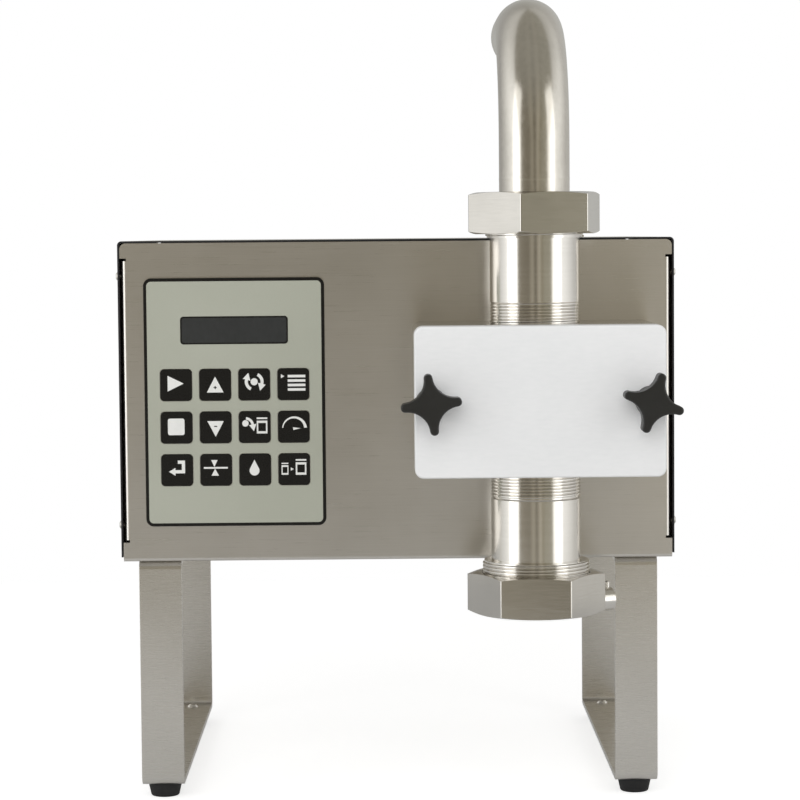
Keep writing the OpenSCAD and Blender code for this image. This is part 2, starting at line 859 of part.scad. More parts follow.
module gear_outline() {
    points = [for (tooth = [0:gear_teeth - 1]) let (mid = 360 * tooth / gear_teeth) each concat(
        [spot(gear_root_r, mid - half_tooth(flank_low))],
        [for (i = [0:FLANK_STEPS]) spot(flank_radius(i), mid - half_tooth(flank_radius(i)))],
        [for (i = [FLANK_STEPS:-1:0]) spot(flank_radius(i), mid + half_tooth(flank_radius(i)))],
        [spot(gear_root_r, mid + half_tooth(flank_low))])];
    polygon(points);
}

module pump_gear(side, turn) {
    color(white_plastic) pump_frame() translate([side * axis_x, 0, 0])
        along_y(front_face + gear_end_gap, front_face + gear_end_gap + gear_w) difference() {
            rotate(turn) gear_outline();
            circle(d = shaft_d);
        }
}

module drive_gear() {
    pump_gear(-1, 0);
}

module idler_gear() {
    pump_gear(1, 180 - 180 / gear_teeth);
}

module drive_shaft() {
    color(bright_steel) pump_frame() translate([-axis_x, 0, 0])
        bar_y(shaft_d, front_face - shaft_tail, joint_y);
}

module idler_shaft() {
    color(bright_steel) pump_frame() translate([axis_x, 0, 0])
        bar_y(shaft_d, front_face - shaft_tail, -wall_t + bush_l - clear);
}

module shaft_bushes() {
    color(brass) pump_frame() for (side = [-1, 1])
        translate([side * axis_x, -wall_t, 0]) rotate([-90, 0, 0])
            washer(bush_d, shaft_d + 2 * running_fit, bush_l);
}

module shaft_seal() {
    color(seal_brown) pump_frame() translate([-axis_x, -seal_l, 0]) rotate([-90, 0, 0])
        washer(seal_ring_d, shaft_d + 2 * running_fit, seal_l);
}

// Pipes

// Points of a thread's flanks, from its start up along Z
function thread(r, from, length, pitch, depth) =
    let (turns = floor(length / pitch))
    [for (i = [0:turns - 1]) each [[r, from + i * pitch], [r - depth, from + (i + 0.5) * pitch]]];

// A tube that screws into the pump at its foot and ends in a threaded collar
module union_tube(length, thread_l, collar_d, collar_show) {
    collar_r = collar_d / 2;
    collar_z = body_top + length;
    end_z = collar_z + collar_show + collar_hold;
    foot = [[tube_bore / 2, body_top - socket_l], [tube_r, body_top - socket_l]];
    tube_thread = thread(tube_r, body_top, thread_l, thread_pitch, thread_depth);
    collar_thread = thread(collar_r, collar_z + collar_rim, end_z - collar_z - 2 * collar_rim,
        collar_pitch, collar_depth);
    rotate_extrude() polygon(concat(foot, tube_thread,
        [[tube_r, body_top + thread_l], [tube_r, collar_z], [collar_r, collar_z]], collar_thread,
        [[collar_r, end_z - collar_rim], [collar_r - collar_rim, end_z], [tube_bore / 2, end_z]]));
}

module inlet_tube() {
    color(bright_steel) column_frame()
        union_tube(inlet_tube_l - inlet_collar_show, inlet_thread_l, inlet_collar_d, inlet_collar_show);
}

module outlet_tube() {
    color(bright_steel) column_frame() mirror([0, 0, 1])
        union_tube(outlet_tube_l, outlet_thread_l, outlet_collar_d, outlet_collar_show);
}

// A hexagon nut with chamfered ends: a wide bore at its foot and a lip on top
module union_nut(bore_d, bore_l, lip_bore_d) {
    corner_r = nut_af / sqrt(3);
    face_r = nut_face_d / 2;
    chamfer_h = (corner_r - face_r) * nut_chamfer_slope;
    difference() {
        intersection() {
            cylinder(r = corner_r, h = nut_h, $fn = 6);
            rotate_extrude() polygon([[0, 0], [face_r, 0], [corner_r, chamfer_h],
                [corner_r, nut_h - chamfer_h], [face_r, nut_h], [0, nut_h]]);
        }
        translate([0, 0, -cut]) cylinder(d = bore_d, h = bore_l + cut);
        translate([0, 0, -cut]) cylinder(d = lip_bore_d, h = nut_h + 2 * cut);
    }
}

module inlet_nut() {
    color(bright_steel) column_frame() translate([0, 0, inlet_nut_z]) rotate([0, 0, inlet_nut_turn])
        union_nut(inlet_collar_d + 2 * clear, collar_hold + gasket_t + ferrule_t + clear, pipe_d + 2 * clear);
}

module outlet_nut() {
    color(bright_steel) column_frame() difference() {
        translate([0, 0, outlet_nut_z + nut_h]) mirror([0, 0, 1]) rotate([0, 0, outlet_nut_turn])
            union_nut(outlet_collar_d + 2 * clear, nut_h - lip_t, lip_d);
        translate([0, 0, clamp_z]) rotate([0, 0, clamp_turn]) rotate([0, 90, 0])
            cylinder(d = clamp_shank_d + 2 * running_fit, h = nut_af);
    }
}

module pipe_section() {
    difference() {
        circle(pipe_r);
        circle(pipe_r - pipe_wall);
    }
}

module inlet_pipe() {
    color(bright_steel) column_frame() {
        translate([0, 0, ferrule_z]) washer(ferrule_d, pipe_d - 2 * pipe_wall, ferrule_t);
        translate([0, 0, ferrule_z + ferrule_t])
            linear_extrude(height = level_z - elbow_r - ferrule_z - ferrule_t) pipe_section();
        translate([0, elbow_r, level_z - elbow_r]) rotate([90, 0, -90])
            rotate_extrude(angle = 90) translate([elbow_r, 0]) pipe_section();
        translate([0, 0, level_z]) along_y(elbow_r, pipe_run) pipe_section();
    }
}

module inlet_gasket() {
    color(white_plastic) column_frame() translate([0, 0, inlet_nut_z + collar_hold])
        washer(ferrule_d, tube_bore, gasket_t);
}

module outlet_gasket() {
    color(white_plastic) column_frame()
        translate([0, 0, outlet_nut_z + nut_h - collar_hold - gasket_t])
            washer(outlet_flange_d, tube_bore, gasket_t);
}

module nozzle_ring() {
    flange_top = outlet_nut_z + nut_h - collar_hold - gasket_t;
    color(bright_steel) column_frame() {
        translate([0, 0, flange_top - nozzle_flange_t])
            washer(outlet_flange_d, nozzle_bore, nozzle_flange_t);
        translate([0, 0, outlet_nut_z])
            washer(nozzle_neck_d, nozzle_bore, flange_top - nozzle_flange_t - outlet_nut_z);
    }
}

// A screw with a round head and a round-ended pin that stands up from the head
module clamp_screw() {
    head_r = clamp_head_d / 2;
    pin_h = head_r + clamp_pin_out - clamp_pin_d / 2;
    color(bright_steel) column_frame() translate([0, 0, clamp_z]) rotate([0, 0, clamp_turn]) {
        rotate([0, 90, 0]) translate([0, 0, clamp_from])
            cylinder(d = clamp_shank_d, h = clamp_head_from - clamp_from);
        translate([clamp_head_from, 0, 0]) rotate([0, 90, 0]) rotate_extrude()
            polygon([[0, 0], [head_r - clamp_edge, 0], [head_r, clamp_edge],
                [head_r, clamp_head_l - clamp_edge], [head_r - clamp_edge, clamp_head_l], [0, clamp_head_l]]);
        translate([clamp_head_from + clamp_head_l - clamp_pin_in, 0, 0]) {
            cylinder(d = clamp_pin_d, h = pin_h);
            translate([0, 0, pin_h]) sphere(d = clamp_pin_d);
        }
    }
}

// Keypad

module keypad_frame() {
    translate([keypad_x, panel_y, case_z]) children();
}

function key_place(column, row) =
    [(column - (KEY_COLUMNS - 1) / 2) * key_pitch_x, key_row_z + (1 - row) * key_pitch_z];

module key_openings() {
    opening = key_side + 2 * key_gap;
    for (column = [0:KEY_COLUMNS - 1], row = [0:KEY_ROWS - 1])
        translate(key_place(column, row)) round_rect(opening, opening, key_r + key_gap);
    translate([0, window_z]) round_rect(window_w, window_h, window_r);
}

module keypad_backing() {
    color(rubber_black) keypad_frame() along_y(-backing_t, 0) difference() {
        translate([0, keypad_z]) round_rect(keypad_w, keypad_h, keypad_r);
        key_openings();
    }
}

module keypad_overlay() {
    color(panel_green) keypad_frame() along_y(-backing_t - overlay_t, -backing_t) difference() {
        translate([0, keypad_z])
            round_rect(keypad_w - 2 * border_w, keypad_h - 2 * border_w, overlay_r);
        key_openings();
    }
}

module display_window() {
    color(smoked) keypad_frame() along_y(-backing_t - overlay_t, 0)
        translate([0, window_z]) round_rect(window_w, window_h, window_r);
}

module key(column, row) {
    front = -backing_t - overlay_t - key_proud;
    color(dark_plastic) keypad_frame() along_y(front, front + key_t)
        translate(key_place(column, row)) round_rect(key_side, key_side, key_r);
}

module display_module() {
    color(board_green) keypad_frame() translate([0, 0, window_z]) {
        along_y(display_y, display_y + display_bezel_t)
            round_rect(display_bezel_w, display_bezel_h, bezel_r);
        along_y(display_y + display_bezel_t, display_y + display_bezel_t + board_t)
            square([display_board_w, display_board_h], center = true);
    }
}

module control_board() {
    color(board_green) keypad_frame() translate([0, control_y, key_row_z]) {
        along_y(0, board_t) square([control_w, control_h], center = true);
        for (i = [-1, 0, 1])
            translate([i * relay_pitch - relay[0] / 2, board_t, -control_h / 2 + control_edge]) cube(relay);
        for (side = [-1, 1])
            translate([side * capacitor_x, 0, control_h / 2 - control_edge - capacitor_d / 2])
                bar_y(capacitor_d, board_t, board_t + capacitor_l);
    }
}

module spacer_set(w, h, to) {
    for (x = [-1, 1], z = [-1, 1])
        translate([x * (w / 2 - spacer_inset), 0, z * (h / 2 - spacer_inset)]) bar_y(spacer_d, sheet_t, to);
}

module board_spacers() {
    color(brass) keypad_frame() {
        translate([0, 0, window_z])
            spacer_set(display_board_w, display_board_h, display_y + display_bezel_t);
        translate([0, 0, key_row_z]) spacer_set(control_w, control_h, control_y);
    }
}

// Drive and electrics

module power_supply() {
    color(grey_metal) case_frame()
        translate([keypad_x - supply_w / 2, case_d - supply_d - supply_behind, sheet_t]) {
            cube([supply_w, supply_d, supply_h]);
            translate([0, -terminal_d, 0]) cube([supply_w, terminal_d, terminal_h]);
        }
}

module at_gearbox_screws() {
    for (x = [-1, 1], z = [-1, 1])
        translate([x * gearbox_screw_at, 0, z * gearbox_screw_at]) children();
}

module at_bracket_screws() {
    for (x = [-1, 1])
        translate([drive_x + x * bracket_screw_x, bracket_y + bracket_screw_y, 0]) children();
}

module motor_bracket() {
    color(steel) case_frame() difference() {
        translate([drive_x, bracket_y, sheet_t]) across_x(gearbox_side + 2 * bracket_edge) union() {
            square([bracket_t, pump_z - sheet_t + gearbox_side / 2 + bracket_edge]);
            square([bracket_foot_d, bracket_t]);
        }
        translate([drive_x, 0, pump_z]) {
            bar_y(boss_d, bracket_y - cut, gearbox_y + cut);
            at_gearbox_screws() bar_y(small_screw_d + screw_play, bracket_y - cut, gearbox_y + cut);
        }
        at_bracket_screws() cylinder(d = small_screw_d + screw_play, h = sheet_t + bracket_t + cut);
    }
}

module gearbox() {
    color(grey_metal) drive_frame() difference() {
        union() {
            along_y(gearbox_y, motor_y) round_rect(gearbox_side, gearbox_side, gearbox_r);
            bar_y(boss_d - 2 * boss_play, bracket_y + boss_play, gearbox_y);
        }
        bar_y(shaft_d + 2 * running_fit, bracket_y, gearbox_y + gearbox_bore_l);
        at_gearbox_screws() bar_y(small_screw_d, gearbox_y - cut, gearbox_y + gearbox_screw_l + cut);
    }
}

module gearbox_shaft() {
    color(bright_steel) drive_frame() bar_y(shaft_d, joint_y + clear, gearbox_y + gearbox_bore_l - clear);
}

module shaft_coupling() {
    color(grey_metal) drive_frame() translate([0, coupling_y, 0]) rotate([-90, 0, 0])
        washer(coupling_d, shaft_d, coupling_l);
}

module motor() {
    cap_y = motor_y + motor_l - motor_cap_l;
    color(dark_plastic) drive_frame() {
        bar_y(motor_d, motor_y, cap_y);
        bar_y(motor_d + 2 * motor_cap_lap, cap_y, cap_y + motor_cap_l);
        for (side = [-1, 1])
            translate([0, cap_y - brush_cap_d, 0]) rotate([0, side * 90, 0])
                cylinder(d = brush_cap_d, h = motor_d / 2 + brush_cap_out);
    }
}

module motor_screws() {
    color(bright_steel) {
        drive_frame() at_gearbox_screws() translate([0, bracket_y, 0]) rotate([90, 0, 0])
            dome_screw(small_head_d, small_head_h, small_screw_d, bracket_t + gearbox_screw_l);
        case_frame() at_bracket_screws() translate([0, 0, sheet_t + bracket_t])
            dome_screw(small_head_d, small_head_h, small_screw_d, bracket_t + sheet_t);
    }
}

module mains_inlet() {
    color(dark_plastic) case_frame() translate([inlet_x, case_d, rear_row_z]) {
        difference() {
            union() {
                along_y(0, inlet_flange_t) round_rect(inlet_w, inlet_h, inlet_flange_r);
                along_y(-inlet_body_l, 0) square([inlet_w - 2 * (flange_lap + body_play),
                    inlet_h - 2 * (flange_lap + body_play)], center = true);
            }
            along_y(-inlet_body_l + inlet_floor_t, inlet_flange_t + cut)
                polygon([[-mouth_w / 2, -mouth_h / 2], [mouth_w / 2, -mouth_h / 2],
                    [mouth_w / 2, mouth_h / 2 - mouth_corner], [mouth_w / 2 - mouth_corner, mouth_h / 2],
                    [-mouth_w / 2 + mouth_corner, mouth_h / 2], [-mouth_w / 2, mouth_h / 2 - mouth_corner]]);
        }
        for (pin = INLET_PINS)
            translate([pin[0], 0, pin[1]]) along_y(-inlet_body_l + inlet_floor_t, -pin_sink)
                square(inlet_pin, center = true);
    }
}

module switch_frame() {
    color(dark_plastic) case_frame() translate([switch_x, case_d, rear_row_z]) difference() {
        union() {
            along_y(0, switch_frame_t) round_rect(switch_w, switch_h, switch_frame_r);
            along_y(-switch_body_l, 0) square([switch_w - 2 * (switch_lap + body_play),
                switch_h - 2 * (switch_lap + body_play)], center = true);
        }
        along_y(-switch_well_d, switch_frame_t + cut)
            square([rocker_w + 2 * clear, 2 * (rocker_half + clear)], center = true);
    }
}

// The rocker's side view about its pivot: two shallow slopes that meet at the middle
module rocker_side() {
    dip = rocker_half * tan(rocker_tilt);
    intersection() {
        circle(rocker_half);
        polygon([[-rocker_in, -rocker_half], [rocker_out, -rocker_half], [rocker_out - dip, 0],
            [rocker_out, rocker_half], [-rocker_in, rocker_half]]);
    }
}

module power_switch() {
    color(rubber_black) case_frame() translate([switch_x, case_d, rear_row_z])
        rotate([-rocker_tilt, 0, 0]) across_x(rocker_w) rocker_side();
}

module pedal_socket() {
    barrel_r = socket_d / 2 - flange_lap - body_play;
    color(grey_metal) case_frame() translate([socket_x, case_d, rear_row_z]) rotate([-90, 0, 0]) {
        rotate_extrude() polygon([[0, -socket_body_l], [barrel_r, -socket_body_l], [barrel_r, 0],
            [socket_d / 2, 0], [socket_d / 2, socket_flange_t], [barrel_r, socket_out],
            [socket_well_r, socket_out], [socket_well_r, -socket_well_d], [0, -socket_well_d]]);
        for (i = [0:CONTACTS - 1])
            rotate([0, 0, 180 * i / (CONTACTS - 1) - 90]) translate([contact_r, 0, -socket_well_d])
                cylinder(d = contact_d, h = contact_l);
    }
}

chassis_tray();
top_cover();
cover_seal();
cover_screws();
left_leg();
right_leg();
leg_screws();
rubber_feet();
foot_screws();
pump_body();
pump_bolts();
pump_cover();
cover_ring();
cover_studs();
left_knob();
right_knob();
drive_gear();
idler_gear();
drive_shaft();
idler_shaft();
shaft_bushes();
shaft_seal();
inlet_tube();
outlet_tube();
inlet_nut();
outlet_nut();
inlet_pipe();
inlet_gasket();
outlet_gasket();
nozzle_ring();
clamp_screw();
keypad_backing();
keypad_overlay();
display_window();
key(0, 0);  // start_key
key(1, 0);  // up_key
key(2, 0);  // reverse_key
key(3, 0);  // menu_key
key(0, 1);  // stop_key
key(1, 1);  // down_key
key(2, 1);  // fill_key
key(3, 1);  // speed_key
key(0, 2);  // enter_key
key(1, 2);  // calibrate_key
key(2, 2);  // drip_key
key(3, 2);  // batch_key
display_module();
control_board();
board_spacers();
power_supply();
gearbox();
gearbox_shaft();
motor();
motor_bracket();
motor_screws();
shaft_coupling();
mains_inlet();
switch_frame();
power_switch();
pedal_socket();
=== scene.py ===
"""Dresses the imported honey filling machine: pieces, finishes and a plain studio.

Metres, +Z up, the user stands at -Y. The file is laid out as an add-on and run as a script.
"""

import math

import bmesh
import bpy
from mathutils import Matrix, Vector


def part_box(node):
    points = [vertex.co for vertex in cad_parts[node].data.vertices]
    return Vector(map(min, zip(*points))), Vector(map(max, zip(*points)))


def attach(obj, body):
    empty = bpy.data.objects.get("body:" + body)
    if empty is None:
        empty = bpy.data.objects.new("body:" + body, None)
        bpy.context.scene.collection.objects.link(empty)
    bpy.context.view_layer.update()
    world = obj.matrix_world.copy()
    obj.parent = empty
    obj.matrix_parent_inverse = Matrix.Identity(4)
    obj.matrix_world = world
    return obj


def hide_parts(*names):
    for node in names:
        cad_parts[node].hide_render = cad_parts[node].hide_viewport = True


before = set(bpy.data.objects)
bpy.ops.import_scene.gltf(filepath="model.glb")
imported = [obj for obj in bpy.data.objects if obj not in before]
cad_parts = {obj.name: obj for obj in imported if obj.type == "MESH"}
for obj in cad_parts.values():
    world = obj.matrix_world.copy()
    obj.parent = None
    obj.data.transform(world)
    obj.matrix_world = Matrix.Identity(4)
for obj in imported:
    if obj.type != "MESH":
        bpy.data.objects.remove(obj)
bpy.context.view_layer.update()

bl_info = {
    "name": "Honey Filling Machine",
    "version": (1, 0, 0),
    "blender": (4, 5, 0),
    "location": "View3D > Sidebar > Filler",
    "description": "Models and finishes the visible pieces of a bench filling machine",
    "category": "Add Mesh",
}

MM = 0.001
MERGE = 0.002 * MM
SMOOTH_ANGLE = math.radians(32)
SHARP_ANGLE = math.radians(60)
# How deep a print is sunk into what carries it
PRINT_SUNK = 0.02 * MM
# A thread's section: depth of its root in thread depths, and start and end of its crest in pitches
THREAD_ROOT = 1.2
CREST_START = 0.3
CREST_END = 0.7
# A dome screw's hexagon socket: its radius in head widths, and the middle of its depth in head heights
SOCKET_RADIUS = 0.28
SOCKET_MIDDLE = 0.85
KEYS = ["start_key", "up_key", "reverse_key", "menu_key", "stop_key", "down_key",
        "fill_key", "speed_key", "enter_key", "calibrate_key", "drip_key", "batch_key"]


# Values that a user would change

def linear(code):
    """Turns an sRGB hex colour such as "#a8a296" into linear red, green, blue and alpha."""
    parts = [int(code[i:i + 2], 16) / 255 for i in (1, 3, 5)]
    return [part / 12.92 if part <= 0.04045 else ((part + 0.055) / 1.055) ** 2.4 for part in parts] + [1]


def length(name, description, millimetres):
    """A length property, given in millimetres."""
    return bpy.props.FloatProperty(
        name=name, description=description, default=millimetres * MM, min=0, precision=5, unit="LENGTH")


def turn(name, description, degrees):
    """An angle property, given in degrees."""
    return bpy.props.FloatProperty(
        name=name, description=description, default=math.radians(degrees), unit="ROTATION")


def amount(name, description, value):
    """A plain number that can't be negative."""
    return bpy.props.FloatProperty(name=name, description=description, default=value, min=0)


def spot(name, description, metres):
    """A place property, given in metres."""
    return bpy.props.FloatVectorProperty(
        name=name, description=description, default=metres, size=3, unit="LENGTH", subtype="TRANSLATION")


def colour(name, description, code):
    """A colour property, given as an sRGB hex value."""
    return bpy.props.FloatVectorProperty(
        name=name, description=description, default=linear(code), size=4, min=0, max=1, subtype="COLOR")


class FillerSizes(bpy.types.PropertyGroup):
    """Sizes of the pieces that are modelled here."""

    knob_span: length("Knob span", "Diameter over the lobes of a star knob", 33.5)
    knob_lobe: length("Knob lobe", "Radius of a star knob's lobe tips", 2.4)
    knob_waist: length("Knob waist", "Diameter of a star knob's hub and waist", 17)
    knob_grip: length("Knob grip", "Thickness of a star knob's grip", 13)
    knob_edge: length("Knob edge", "Rounding of a star knob's edges", 1.1)
    knob_cap: length("Knob cap", "Thickness of the knob in front of its blind bore", 4)
    left_knob_turn: turn("Left knob turn", "Turn of the left star knob at rest", 6.5)
    right_knob_turn: turn("Right knob turn", "Turn of the right star knob at rest", -17)
    stud_hole: length("Stud hole", "Diameter of the plate's holes for the studs", 10.6)
    knob_bore: length("Knob bore", "Diameter of the knob's bore for its stud", 10.1)
    plate_corner: length("Plate corner", "Corner radius of the pump's front plate", 5)
    plate_edge: length("Plate edge", "Rounding round the front of the pump's plate", 1.2)
    shaft_spacing: length("Shaft spacing", "Distance between the two pump shafts", 42.3)
    shaft_pocket: length("Shaft pocket", "Diameter of the plate's pockets for the shaft ends", 14.1)
    shaft_pocket_depth: length("Pocket depth", "Depth of the plate's pockets for the shaft ends", 8.8)
    tube_width: length("Tube width", "Outside diameter of the threaded tubes", 51)
    tube_bore: length("Tube bore", "Bore of the threaded tubes", 44)
    inlet_thread: length("Inlet thread", "Length of thread that shows above the pump", 11.2)
    outlet_thread: length("Outlet thread", "Length of thread that shows under the pump", 15)
    thread_pitch: length("Thread pitch", "Pitch of the tube thread", 1.8)
    thread_depth: length("Thread depth", "Depth of the tube thread", 0.8)
    collar_pitch: length("Collar pitch", "Pitch of the collars' thread", 1.9)
    collar_depth: length("Collar depth", "Depth of the collars' thread", 0.9)
    collar_hold: length("Collar hold", "Length of a collar inside its nut", 8)
    inlet_collar_show: length("Inlet collar", "Height of the inlet collar under its nut", 2.3)
    outlet_collar_show: length("Outlet collar", "Height of the outlet collar above its nut", 7.1)
    nut_flats: length("Nut flats", "Width across the flats of the union nuts", 68.5)
    nut_land: length("Nut land", "Distance from a flat to the rim of the nut's end face", 0.75)
    nut_slope: turn("Nut slope", "Slope of the chamfer on the nut's corners", 14)
    nut_edge: length("Nut edge", "Rounding of the nut's upright edges", 0.7)
    inlet_nut_turn: turn("Inlet nut turn", "Turn of the inlet nut at rest", 16)
    outlet_nut_turn: turn("Outlet nut turn", "Turn of the outlet nut at rest", -3.5)
    inlet_nut_step: length("Inlet nut step", "Depth of the wide bore in the inlet nut", 13.9)
    inlet_nut_bore: length("Inlet nut bore", "Diameter of the wide bore in the inlet nut", 56.6)
    inlet_nut_hole: length("Inlet nut hole", "Diameter of the hole for the pipe", 40.6)
    outlet_nut_step: length("Outlet nut step", "Depth of the wide bore in the outlet nut", 13.5)
    outlet_nut_bore: length("Outlet nut bore", "Diameter of the wide bore in the outlet nut", 61.6)
    outlet_nut_hole: length("Outlet nut hole", "Diameter of the hole in the outlet nut's lip", 47)
    clamp_hole: length("Clamp hole", "Diameter of the cross hole for the clamp screw", 6.1)
    clamp_height: length("Clamp height", "Height of the clamp screw above the nut's foot", 4.2)
    clamp_turn: turn("Clamp turn", "Direction of the clamp screw about the column", 26.5)
    pipe_width: length("Pipe width", "Outside diameter of the inlet pipe", 40)
    pipe_wall: length("Pipe wall", "Wall of the inlet pipe", 1.5)
    pipe_bend: length("Pipe bend", "Bend radius of the inlet pipe", 65)
    ferrule_height: length("Ferrule", "Thickness of the flange on the pipe's foot", 3.6)
    ferrule_width: length("Ferrule width", "Diameter of the flange on the pipe's foot", 53)
    weld_height: length("Weld height", "Height of the weld seam above the inlet nut", 7.5)
    weld_bead: length("Weld bead", "How far the dressed weld seam stands out", 0.1)
    weld_width: length("Weld width", "Width of the dressed weld seam", 2.4)
    strap_thickness: length("Strap thickness", "Thickness of the leg strap", 3)
    strap_bend: length("Strap bend", "Outside radius of the strap's bends", 5.5)
    strap_tab: length("Strap tab", "Length of the tabs that carry the case", 40)
    strap_edge: length("Strap edge", "Rounding of the strap's cut edges", 0.35)
    foot_top: length("Foot top", "Upper diameter of a rubber foot", 20.5)
    foot_bottom: length("Foot bottom", "Lower diameter of a rubber foot", 17)
    foot_inset: length("Foot inset", "Distance of the feet from the ends of the legs", 15)
    tab_screw_inset: length("Tab screw inset", "Distance of a leg screw from the end of its leg", 22.75)
    side_screw_head: length("Side screw head", "Diameter of a side screw's head", 6)
    side_screw_shank: length("Side screw shank", "Diameter of a side screw's shank", 3)
    side_screw_reach: length("Side screw reach", "Length of a side screw under its head", 4.9)
    leg_screw_head: length("Leg screw head", "Diameter of a leg screw's head", 9)
    leg_screw_dome: length("Leg screw dome", "Height of a leg screw's head", 3)
    leg_screw_shank: length("Leg screw shank", "Diameter of a leg screw's shank", 5)
    foot_screw_head: length("Foot screw head", "Diameter of a foot screw's head", 7.5)
    foot_screw_dome: length("Foot screw dome", "Height of a foot screw's head", 2.2)
    foot_screw_shank: length("Foot screw shank", "Diameter of a foot screw's shank", 4)
    side_screw_depth: length("Side screw depth", "Distance of a side screw from the case's front", 13)
    side_screw_edge: length("Side screw edge", "Distance of a side screw from the case's edge", 20.5)
    key_corner: length("Key corner", "Corner radius of a key", 2.3)
    key_edge: length("Key edge", "Rounding of a key's front edge", 0.22)
    window_corner: length("Window corner", "Corner radius of the display window", 2)
    window_border: length("Window border", "Width of the black line round the display window", 0.9)
    rocker_reach: length("Rocker reach", "How far the rear rocker's ends reach from its pivot", 4.5)
    rocker_half: length("Rocker half", "Half the height of the rear rocker", 8)
    rocker_tilt: turn("Rocker tilt", "Tilt of the rear rocker at rest, and slope of its halves", 8)
    rocker_mark: length("Rocker mark", "Height of the marks on the rear rocker", 3.4)
    ink: length("Ink", "Thickness of the printed signs", 0.04)


# What is tinted, with its dark and its light tint
TINTS = {
    "steel": ("stainless steel", "#d3d0ca", "#e0ddd8"),
    "pipe": ("the pickled pipe", "#cac6be", "#d7d3cb"),
    "nut": ("the milled nuts", "#c7c4be", "#d4d1cb"),
    "film": ("the keypad's film", "#a9ab9c", "#b3b5a7"),
    "plate": ("the white plate", "#eeefef", "#f6f6f6"),
    "knob": ("the black knobs", "#171716", "#20201f"),
    "key": ("the black keys", "#090909", "#101010"),
    "ink": ("the white ink", "#e6e6e2", "#f2f2ee"),
    "rubber": ("the black rubber", "#161617", "#222224"),
    "window": ("the smoked window", "#2e3031", "#353738"),
    "gasket": ("the white gaskets", "#dcdcd6", "#e6e6e0"),
    "seal": ("the brown seal", "#4f3324", "#5f4130"),
    "board": ("the circuit boards", "#1f4f31", "#2f6b45"),
    "brass": ("the brass", "#b9965a", "#d2b274"),
    "zinc": ("the zinc-plated housing", "#8f9294", "#a9acad"),
    "casting": ("the aluminium castings", "#9a9da0", "#b2b5b8"),
    "enamel": ("the motor's enamel", "#17181a", "#222427"),
}


class FillerColours(bpy.types.PropertyGroup):
    """Colours of the finishes."""

    __annotations__ = {
        f"{thing}_{shade}": colour(f"{thing.capitalize()}, {shade}", f"The {shade} tint of {what}", code)
        for thing, (what, dark, light) in TINTS.items()
        for shade, code in (("dark", dark), ("light", light))
    }


class FillerStage(bpy.types.PropertyGroup):
    """Camera and light."""

    camera_place: spot("Camera place", "Where the camera stands", (-0.0085, -1.6083, 0.3328))
    camera_yaw: turn("Camera yaw", "Turn of the camera to the right", 0.386)
    camera_pitch: turn("Camera pitch", "Tilt of the camera downwards", 3.624)
    camera_roll: turn("Camera roll", "Roll of the camera", -0.478)
    camera_lens: bpy.props.FloatProperty(
        name="Lens", description="Focal length on a 36 mm sensor", default=117.7, min=1, unit="CAMERA")
    front_lamp: amount("Front lamp", "Power of the soft lamp above the camera in watts", 12.6)
    lamp_place: spot("Lamp place", "Where the soft lamp hangs", (-0.25, -1.9, 0.9))
    lamp_aim: spot("Lamp aim", "What the soft lamp points at", (0, 0, 0.25))
    lamp_size: length("Lamp size", "Width and height of the soft lamp", 1400)
    left_box: amount("Left softbox", "Power of the left softbox in watts", 1.3)
    right_box: amount("Right softbox", "Power of the right softbox in watts", 1.25)
    left_box_turn: turn("Left softbox turn", "Bearing of the left softbox from the pump's column", -61.5)
    right_box_turn: turn("Right softbox turn", "Bearing of the right softbox from the pump's column", 54)
    box_distance: length("Softbox distance", "Distance of the softboxes from the pump's column", 800)
    box_width: length("Softbox width", "Width of the softboxes", 384)
    box_height: length("Softbox height", "Height of the softboxes, which stand on the floor", 1000)
    floor_lift: amount("Floor lift", "Glow that makes the floor white for the camera", 0.66)
    floor_mirrored: amount("Mirrored floor", "Glow of the floor as the metal mirrors it", 0.1)
    floor_width: length("Floor width", "Width and depth of the floor", 1700)
    floor_front: length("Floor front", "Distance of the floor's front edge from the object's middle", 800)


def sizes():
    """The sizes as they are set in the panel."""
    return bpy.context.scene.filler_sizes


# Modelling steps that the pieces share

def focus(piece):
    """Leaves edit mode and makes a piece the only one that is selected."""
    if bpy.context.object and bpy.context.object.mode != "OBJECT":
        bpy.ops.object.mode_set(mode="OBJECT")
    bpy.ops.object.select_all(action="DESELECT")
    if piece:
        piece.select_set(True)
    bpy.context.view_layer.objects.active = piece


def open_piece(name):
    """Names the primitive that was just added and opens it for editing."""
    piece = bpy.context.object
    piece.name = name
    piece.data.name = name
    bpy.ops.object.mode_set(mode="EDIT")
    return piece


def pick(piece, kind, test):
    """Selects the vertices, edges or faces that pass a test, in edit mode."""
    bpy.ops.mesh.select_mode(type=kind)
    bpy.ops.mesh.select_all(action="DESELECT")
    shape = bmesh.from_edit_mesh(piece.data)
    group = {"VERT": shape.verts, "EDGE": shape.edges, "FACE": shape.faces}[kind]
    for part in group:
        part.select_set(test(part))
    bmesh.update_edit_mesh(piece.data)


def settle(piece):
    """Merges doubles, turns the faces outwards and puts the place into the mesh."""
    focus(piece)
    bpy.ops.object.mode_set(mode="EDIT")
    bpy.ops.mesh.select_all(action="SELECT")
    bpy.ops.mesh.remove_doubles(threshold=MERGE)
    bpy.ops.mesh.normals_make_consistent(inside=False)
    bpy.ops.object.mode_set(mode="OBJECT")
    bpy.ops.object.transform_apply(location=True, rotation=True, scale=True)
    return piece


def modify(piece, kind, **settings):
    """Adds a modifier with its settings and applies it."""
    focus(piece)
    modifier = piece.modifiers.new(kind.lower(), kind)
    for key, value in settings.items():
        setattr(modifier, key, value)
    bpy.ops.object.modifier_apply(modifier=modifier.name)


def cut(piece, cutter, operation="DIFFERENCE"):
    """Cuts a piece with another solid, which is then removed."""
    modify(piece, "BOOLEAN", operation=operation, object=cutter, solver="EXACT")
    bpy.data.objects.remove(cutter)


